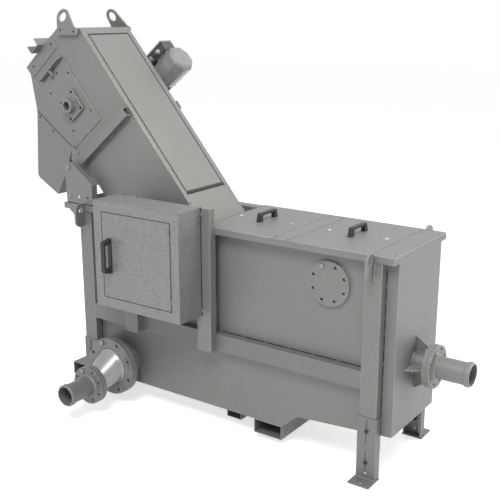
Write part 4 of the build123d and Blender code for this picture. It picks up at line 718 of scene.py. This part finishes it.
plate_bolt = pan_head(0.0052, 0.0045)
plate_places = [on_slope(s, -housing_side - 0.005, n) for s, n in (
    (-0.499, 0.221), (-0.498, 0.171), (-0.445, 0.294), (-0.447, 0.096), (-0.178, 0.293),
    (-0.177, 0.096), (-0.648, 0.298), (-0.648, 0.091))]
plate_places += [on_slope(s, -housing_side, n) for s, n in ((-0.405, -0.079), (-0.277, -0.049))]
plate_places += [Vector((-1.127, -0.224, 2.140)), Vector((-1.022, -0.224, 2.133))]
set_out(plate_bolt, outward_frames(both_sides(plate_places)), "plate_bolts", shade_black)
scrapped(plate_bolt)

bracket_bolt = hexagon_head(0.019, 0.0075)
set_out(bracket_bolt, outward_frames(both_sides([(-1.038, -0.297, 1.204)])), "bracket_bolts",
        zinc)
scrapped(bracket_bolt)

# Washers over the slots of the feet

foot_washer = disc(0.0145, 0.0018, 32)
round_edges(foot_washer, 0.0005, 1)
foot_places = [(x, -sleeve_face, z) for x in (-leg_x, leg_x) for z in foot_bolt_heights]
set_out(foot_washer, outward_frames(both_sides(foot_places)), "foot_washers", plate)
scrapped(foot_washer)

# Pipe reducer: blasted flanges and a polished cone between them

small_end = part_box("outlet_reducer")[0][1] + small_plate + 0.0005
large_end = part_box("outlet_reducer")[1][1] - large_plate - 0.0005
cone = refined("outlet_reducer", "outlet_cone", sheet, whole_faces=False)
cone.data.materials.append(polished_cone)
take(cone)
bpy.ops.object.mode_set(mode="EDIT")
pick_faces(cone, lambda middle, normal:
           small_end < middle.y < large_end and abs(normal.y) < 0.9)
cone.active_material_index = 1
bpy.ops.object.material_slot_assign()
bpy.ops.object.mode_set(mode="OBJECT")

# Bolts of the part, with soft edges

for node_name, name, finish in (("leg_bolts", "height_bolts", shade_black),
                                ("flange_bolts", "pipe_bolts", zinc),
                                ("pivot_bolts", "swing_bolts", zinc)):
    round_edges(refined(node_name, name, finish), 0.0009, 2, angle=40)

# Weld seams

frame_welds = []
for side in (-1, 1):
    y = side * (tank_side + 0.0015)
    frame_welds += stitches((-leg_outer, y, 0.16), (-leg_outer, y, 1.10), length=0.035, gap=0.045)
    frame_welds += stitches((-0.88, y, rail_foot), (0.88, y, rail_foot), length=0.05, gap=0.11)
finished(joined_up(frame_welds), "frame_welds", weld_bead)

corner_welds = []
for side in (-1, 1):
    for x in (-leg_x, leg_x):
        y = side * (leg_face + 0.001)
        for edge in (-0.0062, 0.0062):
            corner_welds.append(weld_run((x + edge, y, 1.04), (x + edge, y, 1.118),
                                         radius=0.0028, pitch=0.005))
        y = side * (sleeve_face + 0.001)
        corner_welds.append(weld_run((x - 0.050, y, 0.0095), (x + 0.050, y, 0.0095),
                                     radius=0.003, pitch=0.005))
finished(joined_up(corner_welds), "corner_welds", weld_bead)


def ring_weld(centre, axis, radius, bead, name):
    """A closed seam round a pipe, rippled by pushing every other part of it in a little."""
    bare_bench()
    bpy.ops.mesh.primitive_torus_add(major_radius=radius, minor_radius=bead,
                                     major_segments=144, minor_segments=6)
    seam = bpy.context.object
    bpy.ops.object.mode_set(mode="EDIT")
    pick_faces(seam, lambda middle, normal:
               int((atan2(middle.y, middle.x) + pi) * 36 / pi + 0.25) % 2 == 0)
    bpy.ops.transform.shrink_fatten(value=bead * 0.28)
    bpy.ops.object.mode_set(mode="OBJECT")
    bpy.ops.object.shade_smooth()
    seam.matrix_world = frame_at(centre, axis)
    finished(seam, name, weld_bead)


tank_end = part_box("inlet_stub")[0][0]
ring_weld((tank_end + 0.001, 0, inlet.z), (1, 0, 0), small_pipe + 0.00135, 0.004, "inlet_weld")
ring_weld((outlet.x, -tank_side - 0.001, outlet.z), (0, 1, 0), large_pipe + 0.00145, 0.0045,
          "outlet_weld")

housing_welds = []
for side in (-1, 1):
    y = side * (housing_side + 0.0012)
    for s in (-0.030, 0.023):
        housing_welds += stitches(on_slope(s, y, 0.05), on_slope(s, y, 0.50),
                                  length=0.03, gap=0.05)
    housing_welds += stitches(on_slope(-0.63, y, 0.038), on_slope(-0.12, y, 0.038),
                              length=0.03, gap=0.07)
    for s in (-0.533, -0.096):
        housing_welds += stitches(on_slope(s, y, 0.06), on_slope(s, y, 0.30),
                                  length=0.025, gap=0.05)
finished(joined_up(housing_welds), "housing_welds", weld_bead)

# Seams of the chute's cheeks, and bright strips of painted highlight along the edges of the
# inclined face and the lids


def crease(start, end, radius, name, finish, body="root"):
    """A soft round ridge, thin at both ends: a folded seam, or a bright strip of painted highlight
    along an edge.
    """
    way = Vector(end) - Vector(start)
    ridge = disc(radius, way.length, 10)
    stepped(ridge, lambda middle, normal: abs(normal.z) > 0.9, [(radius * 0.5, radius)])
    bpy.ops.object.shade_smooth_by_angle(angle=radians(50))
    ridge.matrix_world = frame_at(start, way)
    finished(ridge, name, finish, body)


for side, side_name in ((-1, "front"), (1, "back")):
    y = side * (housing_side - 0.0003)
    crease(pivot + Vector((-0.345, y, 0.296)), pivot + Vector((-0.062, y, 0.099)), 0.0024,
           "chute_seam_" + side_name, shade_black)
    # painted highlight: a bright strip along each long edge of the inclined face
    y = side * (housing_side - 0.0005)
    crease(on_slope(-0.50, y, housing_face + 0.0002), on_slope(0.60, y, housing_face + 0.0002),
           0.0013, "face_edge_" + side_name, glint_steel)
    for lid_name, body, start_x, end_x in (("left", "lid_left", -0.062, 0.368),
                                           ("middle", "root", 0.376, 0.463),
                                           ("right", "lid_right", 0.469, 0.918)):
        # painted highlight: a bright strip along the top edge of each lid and of the middle strip
        y, z = side * lid_side, lid_top - 0.0003
        crease((start_x, y, z), (end_x, y, z), 0.0009, "lid_edge_" + lid_name + "_" + side_name,
               glint_steel, body)

# Shaft bearings: locking collar, a black disc on the shaft end as painted shade in the bore, and
# grease nipples

shaft_middle = on_slope(-0.287, 0, 0.194)
collar = eye_ring(0.0265, 0.037, 0.003)
collar.matrix_world = frame_at(shaft_middle + front * 0.254, front)
finished(collar, "bearing_collar", machined_y)
# painted shade: a black rubber disc on the shaft's end darkens the bore
bore_shade_disc = disc(0.0243, 0.003, 40)
stepped(bore_shade_disc, tops, ((0.004, 0), (0.002, -0.0015)))
bore_shade_disc.matrix_world = frame_at(shaft_middle + front * 0.2335, front)
finished(bore_shade_disc, "bore_shade_disc", rubber, "head_shaft")

nipple_foot = disc(0.0052, 0.006, 6)
round_edges(nipple_foot, 0.0006, 1)
nipple_tip = disc(0.0028, 0.012, 16)
bpy.ops.object.mode_set(mode="EDIT")
pick_faces(nipple_tip, tops)
for wider in (1.25, 0.5):
    bpy.ops.mesh.extrude_region_move(TRANSFORM_OT_translate={"value": (0, 0, 0.002)})
    bpy.ops.transform.resize(value=(wider, wider, 1))
bpy.ops.object.mode_set(mode="OBJECT")
grease_nipple = joined_up([nipple_foot, nipple_tip])
nipple_frames = [frame_at(shaft_middle + outwards * 0.046 + back * side * 0.236, outwards)
                 for side in (-1, 1)]
set_out(grease_nipple, nipple_frames, "grease_nipples", zinc)
scrapped(grease_nipple)

# Gearbox: rounded case, round cover, and the bolts of cover, motor flange and case

case = refined("gearbox", "gearbox_case", cast)
round_edges(case, 0.004, 3, angle=35)
case_cover = disc(0.052, 0.006, 48)
stepped(case_cover, tops, ((0.010, 0), (0.002, -0.003), (0.012, 0), (0.002, 0.003)))
round_edges(case_cover, 0.0008, 2)
case_cover.matrix_world = frame_at(shaft_middle + back * 0.3995, back)
finished(case_cover, "gearbox_cover", cast)

motor_axis = on_slope(-0.237, 0.330, 0)
motor_flange = motor_axis + outwards * 0.291
cover_circle = 0.046
flange_circle = 0.070
case_bolt = hexagon_head(0.010, 0.0045)
case_frames = []
for i in range(8):
    around = Matrix.Rotation(radians(22.5 + 45 * i), 4, "Y") @ Vector((cover_circle, 0, 0))
    case_frames.append(frame_at(shaft_middle + around + back * 0.4045, back, i))
for i in range(4):
    angle = radians(45 + 90 * i)
    around = (down * cos(angle) + back * sin(angle)) * flange_circle
    case_frames.append(frame_at(motor_flange + around, outwards, i))
for s, n in ((-0.32, 0.135), (-0.205, 0.135), (-0.32, 0.25)):
    case_frames.append(frame_at(on_slope(s, 0.403, n), back, s * 9))
set_out(case_bolt, case_frames, "gearbox_bolts", zinc)
scrapped(case_bolt)

# Motor: faceted fan cover with a rounded end, terminal box with its lid and glands.
# These are shaped with Z along the motor and X down the slope, then set in place.

along_motor = Matrix.Translation(motor_axis) @ Matrix((
    (down.x, 0, outwards.x, 0), (0, 1, 0, 0), (down.z, 0, outwards.z, 0), (0, 0, 0, 1)))
bare_bench()
bpy.ops.mesh.primitive_cylinder_add(vertices=8, radius=0.0815 / cos(pi / 8), depth=0.166,
                                    location=(0, 0, 0.561), rotation=(0, 0, pi / 8))
fan_hood = set_down(bpy.context.object)
bpy.ops.object.mode_set(mode="EDIT")
pick_faces(fan_hood, tops)
for rise, narrower in ((0.012, 0.93), (0.010, 0.86)):
    bpy.ops.mesh.extrude_region_move(TRANSFORM_OT_translate={"value": (0, 0, rise)})
    bpy.ops.transform.resize(value=(narrower, narrower, 1))
for width, rise in ((0.006, 0.0012), (0.004, -0.0018), (0.012, 0.0)):
    bpy.ops.mesh.inset(thickness=width, depth=rise)
bpy.ops.object.mode_set(mode="OBJECT")
round_edges(fan_hood, 0.006, 3, angle=12)
fan_hood.matrix_world = along_motor
finished(fan_hood, "fan_hood", enamel)
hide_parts("fan_cover")

box_case = refined("terminal_box", "terminal_case", dark_enamel)
round_edges(box_case, 0.0022, 2, angle=35)
box_lid = slab(0.010, 0.098, 0.174, (-0.152, 0, 0.536))
stepped(box_lid, lambda middle, normal: normal.x < -0.9, ((0.008, 0), (0.0015, 0.002)))
round_edges(box_lid, 0.003, 3)
box_lid.matrix_world = along_motor
finished(box_lid, "terminal_lid", enamel)

box_screw = pan_head(0.0042, 0.0034)
box_frames = [frame_at(along_motor @ Vector((-0.157, y, z)), -down, z * 40)
              for y in (-0.043, 0.043) for z in (0.455, 0.617)]
set_out(box_screw, box_frames, "terminal_screws", zinc)
scrapped(box_screw)
gland_nut = hexagon_head(0.028, 0.009)
gland_dome = disc(0.0115, 0.018, 28)
round_edges(gland_dome, 0.003, 3)
gland = joined_up([gland_nut, gland_dome])
gland_frames = [frame_at(along_motor @ Vector((-0.117, -0.049, z)), front, z * 9)
                for z in (0.500, 0.566)]
set_out(gland, gland_frames, "cable_glands", bright_steel)
scrapped(gland)

# Cabinet: fixing lugs with their screws, door seal and wiring ducts

lug_heights = (1.234, 0.707)
lug = slab(0.036, 0.003, 0.020)
stepped(lug, fronts, [(0.002, 0.0006)])
round_edges(lug, 0.0012, 2)
lug_frames = [Matrix.Translation((x, cabinet_back - 0.0015, z))
              for x in (-0.034, -0.641) for z in lug_heights]
set_out(lug, lug_frames, "cabinet_lugs", zinc)
scrapped(lug)
lug_screw = hexagon_head(0.010, 0.0045)
lug_screws = [frame_at((x, cabinet_back - 0.003, z), front, z)
              for x in (-0.026, -0.649) for z in lug_heights]
set_out(lug_screw, lug_screws, "cabinet_screws", zinc)
scrapped(lug_screw)

bare_bench()
bpy.ops.mesh.primitive_plane_add(size=1, location=(cabinet.x, door_high[1] - 0.0015, cabinet.z),
                                 rotation=(pi / 2, 0, 0))
door_seal = bpy.context.object
door_seal.scale = (0.449, 0.452, 1)
set_down(door_seal)
bpy.ops.object.mode_set(mode="EDIT")
bpy.ops.mesh.select_all(action="SELECT")
bpy.ops.mesh.inset(thickness=0.012, depth=0)
bpy.ops.mesh.delete(type="FACE")
bpy.ops.object.mode_set(mode="OBJECT")
thickened(door_seal, 0.006)
round_edges(door_seal, 0.0022, 3)
finished(door_seal, "door_seal", rubber, "cabinet_door")

duct_base = slab(0.440, 0.036, 0.030, (0, -0.018, 0))
stepped(duct_base, fronts, ((0.0015, 0), (0.0005, -0.001)))
round_edges(duct_base, 0.0012, 2)
comb = slab(0.0045, 0.026, 0.0316, (-0.2145, -0.016, 0))
round_edges(comb, 0.0006, 1)
repeated(comb, (0.011, 0, 0), 40)
duct = joined_up([duct_base, comb])
plate_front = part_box("mounting_plate")[0][1]
duct_frames = [Matrix.Translation((cabinet.x, plate_front - 0.0005, z)) for z in (0.785, 1.168)]
set_out(duct, duct_frames, "wiring_ducts", pale_plastic)
scrapped(duct)

# Dark strips of painted shade in the gaps and seams, rubber gaskets between the flanges, and a
# painted shade ring at the cone's foot


def bar(start, end, width, height, up):
    """A thin flat bar from one point to another; its thickness stands along up."""
    way = Vector(end) - Vector(start)
    along, up = way.normalized(), Vector(up).normalized()
    across = up.cross(along)
    piece = slab(way.length, width, height, (way.length / 2, 0, height / 2))
    turned = Matrix((along, across, up)).transposed().to_4x4()
    piece.matrix_world = Matrix.Translation(start) @ turned
    return set_down(piece)


def dashes(start, end, length, gap, width, height, up):
    """Bars in a row with short breaks."""
    start, end = Vector(start), Vector(end)
    way = end - start
    count = round(way.length / (length + gap))
    step = way / count
    return [bar(start + step * i, start + step * (i + 1) - way.normalized() * gap, width, height,
                up) for i in range(count)]


def frame_of_bars(corners, width, height, up):
    """Bars round a rectangle, from corner to corner."""
    corners = [Vector(c) for c in corners]
    return [bar(corners[i - 1], corners[i], width, height, up) for i in range(4)]


def slope_rectangle(upper_s, lower_s, half_width, n):
    """The corners of a rectangle on the inclined face."""
    return [on_slope(s, y, n) for s, y in ((upper_s, -half_width), (upper_s, half_width),
                                           (lower_s, half_width), (lower_s, -half_width))]


# Joins dark strips that stand in for the shade of a gap or seam; black rubber by default
def shade_strips(bars, name, body="root", finish=rubber):
    joint = joined_up(bars)
    round_edges(joint, 0.0003, 1)
    finished(joint, name, finish, body)


upright = (0, 0, 1)
# painted shade: black strips in the cover's gap and along its edges and foot
shade_strips(frame_of_bars(slope_rectangle(-0.525, 0.570, 0.168, housing_face - 0.0058),
                     0.0036, 0.0052, outwards), "cover_gap_shade")
cover_shade_rows = frame_of_bars(slope_rectangle(-0.5195, 0.5530, 0.1627, housing_face - 0.0001),
                           0.0062, 0.0011, outwards)
cover_shade_rows.append(bar(on_slope(0.5625, -0.1672, 0.5408), on_slope(0.5625, 0.1672, 0.5408),
                      0.0125, 0.0022, outwards))
shade_strips(cover_shade_rows, "cover_edge_shade", "housing_cover")
# painted shade: black strips in the gaps between the lids
lid_joints = [bar((x, -lid_side, lid_top - 0.0029), (x, lid_side, lid_top - 0.0029),
                  0.0036, 0.0031, upright) for x in (-0.0666, 0.372, 0.465, 0.9216)]
shade_strips(lid_joints, "lid_joints")
# painted shade: black strips in the door's gap and in the seam between the cabinet and its post
door_left, door_right = door_low[0] - 0.0018, door_high[0] + 0.0018
door_foot, door_head = door_low[2] - 0.0018, door_high[2] + 0.0018
door_corners = [(x, cabinet_front + 0.0001, z) for x, z in (
    (door_left, door_foot), (door_left, door_head),
    (door_right, door_head), (door_right, door_foot))]
shade_strips(frame_of_bars(door_corners, 0.0032, 0.0012, front), "door_gap_shade")
shade_strips([bar((-0.0405, cabinet_back - 0.0001, 0.680), (-0.0405, cabinet_back - 0.0001, 1.268),
            0.005, 0.0022, front)], "cabinet_seam_shade")

# painted shade: dark dashes in the gaps beside the legs and along the tops of the rails
joint_shade_dashes = []
for side in (-1, 1):
    outside = Vector((0, side, 0))
    y = side * (tank_side + 0.0001)
    outer_x, inner_x, rail_z = leg_outer + 0.003, leg_inner - 0.003, rail_top + 0.0025
    for start, end, length, gap, width in (
            ((outer_x, y, 0.150), (outer_x, y, 1.090), 0.066, 0.012, 0.0036),
            ((-inner_x, y, 0.340), (-inner_x, y, 0.470), 0.046, 0.012, 0.0036),
            ((0.020, y, rail_z), (0.884, y, rail_z), 0.120, 0.014, 0.0044),
            ((-0.884, y, rail_z), (-0.620, y, rail_z), 0.120, 0.014, 0.0044)):
        joint_shade_dashes += dashes(start, end, length, gap, width, 0.0016, outside)
shade_strips(joint_shade_dashes, "frame_joint_shade", "root", shade_black)

# Rubber gaskets between the flange pairs, and a thin dark ring of painted shade where the cone
# meets its large flange
gaskets_and_shade_ring = []
for centre, axis, inner, outer, height in (
        ((1.138, 0, inlet.z), (1, 0, 0), small_flange - 0.0064, small_flange - 0.0014, 0.00095),
        ((outlet.x, -0.337, outlet.z), back, large_flange - 0.0064, large_flange - 0.0014, 0.00095),
        ((tail.x, -0.529, tail.z), back, small_flange - 0.0064, small_flange - 0.0014, 0.00095),
        ((outlet.x, large_end + 0.0001, outlet.z), back, 0.1090, 0.1125, 0.0012)):
    rim = eye_ring(inner, outer, height)
    rim.matrix_world = frame_at(centre, axis)
    gaskets_and_shade_ring.append(set_down(rim))
finished(joined_up(gaskets_and_shade_ring), "gaskets_and_shade_ring", rubber)

# Small closing plates between the chute, the strut and the pivot bracket


def flat_plate(corners, thickness):
    """A four-cornered plate: each corner of a plane is moved to its place."""
    bare_bench()
    bpy.ops.mesh.primitive_plane_add(size=0.1)
    blank = bpy.context.object
    bpy.ops.object.mode_set(mode="EDIT")
    bpy.ops.mesh.select_mode(type="VERT")
    for i, corner in zip((0, 1, 3, 2), corners):
        bpy.ops.mesh.select_all(action="DESELECT")
        shape = bmesh.from_edit_mesh(blank.data)
        shape.verts.ensure_lookup_table()
        shape.verts[i].select_set(True)
        move = Vector(corner) - shape.verts[i].co
        bmesh.update_edit_mesh(blank.data)
        bpy.ops.transform.translate(value=move)
    bpy.ops.object.mode_set(mode="OBJECT")
    thickened(blank, thickness)
    return round_edges(blank, 0.0005, 1)


closing_plates = []
for side in (-1, 1):
    y = side * (housing_side + 0.0015)
    corners = [pivot + Vector((x, y, z)) for x, z in (
        (-0.062, 0.105), (-0.005, 0.075), (-0.030, 0.0), (-0.075, 0.020))]
    closing_plates.append(flat_plate(corners, 0.002))
finished(joined_up(closing_plates), "closing_plates", sheet)

# Floor, light and camera

bpy.ops.object.select_all(action="DESELECT")
bpy.ops.mesh.primitive_plane_add(size=60, location=(0, 0, -0.0006))
floor = bpy.context.object
floor.name = "floor"
floor_finish = bpy.data.materials.new("pale_floor")
floor_finish.use_nodes = True
floor_tree = floor_finish.node_tree
floor_shader = floor_tree.nodes["Principled BSDF"]
floor_shader.inputs["Base Color"].default_value = (0.82, 0.82, 0.82, 1)
floor_shader.inputs["Roughness"].default_value = 0.9
floor_shader.inputs["Specular IOR Level"].default_value = 0.1


def seen_directly(tree):
    """1 for what the camera, a gloss or a clear body shows, 0 for light that falls on things."""
    path = tree.nodes.new("ShaderNodeLightPath")
    seen = joined(tree, "MAXIMUM", path.outputs["Is Camera Ray"], path.outputs["Is Glossy Ray"])
    return joined(tree, "MAXIMUM", seen, path.outputs["Is Transmission Ray"])


floor_shader.inputs["Emission Color"].default_value = (1, 1, 1, 1)
floor_tree.links.new(joined(floor_tree, "MULTIPLY", seen_directly(floor_tree), 0.62),
                     floor_shader.inputs["Emission Strength"])
floor.data.materials.append(floor_finish)

world = bpy.data.worlds.new("studio")
bpy.context.scene.world = world
world.use_nodes = True
sky = world.node_tree
background = sky.nodes["Background"]
background.inputs["Color"].default_value = (1, 1, 1, 1)
sky.links.new(between(sky, seen_directly(sky), 0, 1, 0.42, 1.0), background.inputs["Strength"])


def softbox(name, place, aim, size, watts):
    lamp = bpy.data.lights.new(name, "AREA")
    lamp.shape = "DISK"
    lamp.size = size
    lamp.energy = watts
    holder = bpy.data.objects.new(name, lamp)
    bpy.context.scene.collection.objects.link(holder)
    holder.location = place
    holder.rotation_euler = (Vector(aim) - Vector(place)).to_track_quat("-Z", "Y").to_euler()


softbox("key_light", (1.2, -3.8, 5.6), (-0.1, 0, 0.9), size=2.4, watts=203)
softbox("left_light", (-3.6, -4.2, 1.6), (-0.6, -0.3, 0.9), size=1.4, watts=9)
softbox("side_light", (3.0, 2.4, 5.6), (0, 0, 1.0), size=2.6, watts=160)
softbox("end_light", (5.2, 2.9, 1.1), (1.0, 0.0, 0.75), size=1.6, watts=44)
softbox("back_light", (-2.4, 4.2, 0.5), (-0.2, 0.3, 0.8), size=1.2, watts=80)

camera_data = bpy.data.cameras.new("photo_camera")
camera_data.sensor_width = 36
camera_data.lens = 62.14
camera = bpy.data.objects.new("photo_camera", camera_data)
bpy.context.scene.collection.objects.link(camera)
azimuth, elevation = radians(34.83), radians(15.54)
look = Vector((-sin(azimuth) * cos(elevation), cos(azimuth) * cos(elevation), -sin(elevation)))
camera.location = (2.6512, -3.7643, 2.250)
camera.rotation_euler = look.to_track_quat("-Z", "Y").to_euler()
bpy.context.scene.camera = camera
bpy.context.scene.view_settings.view_transform = "Standard"
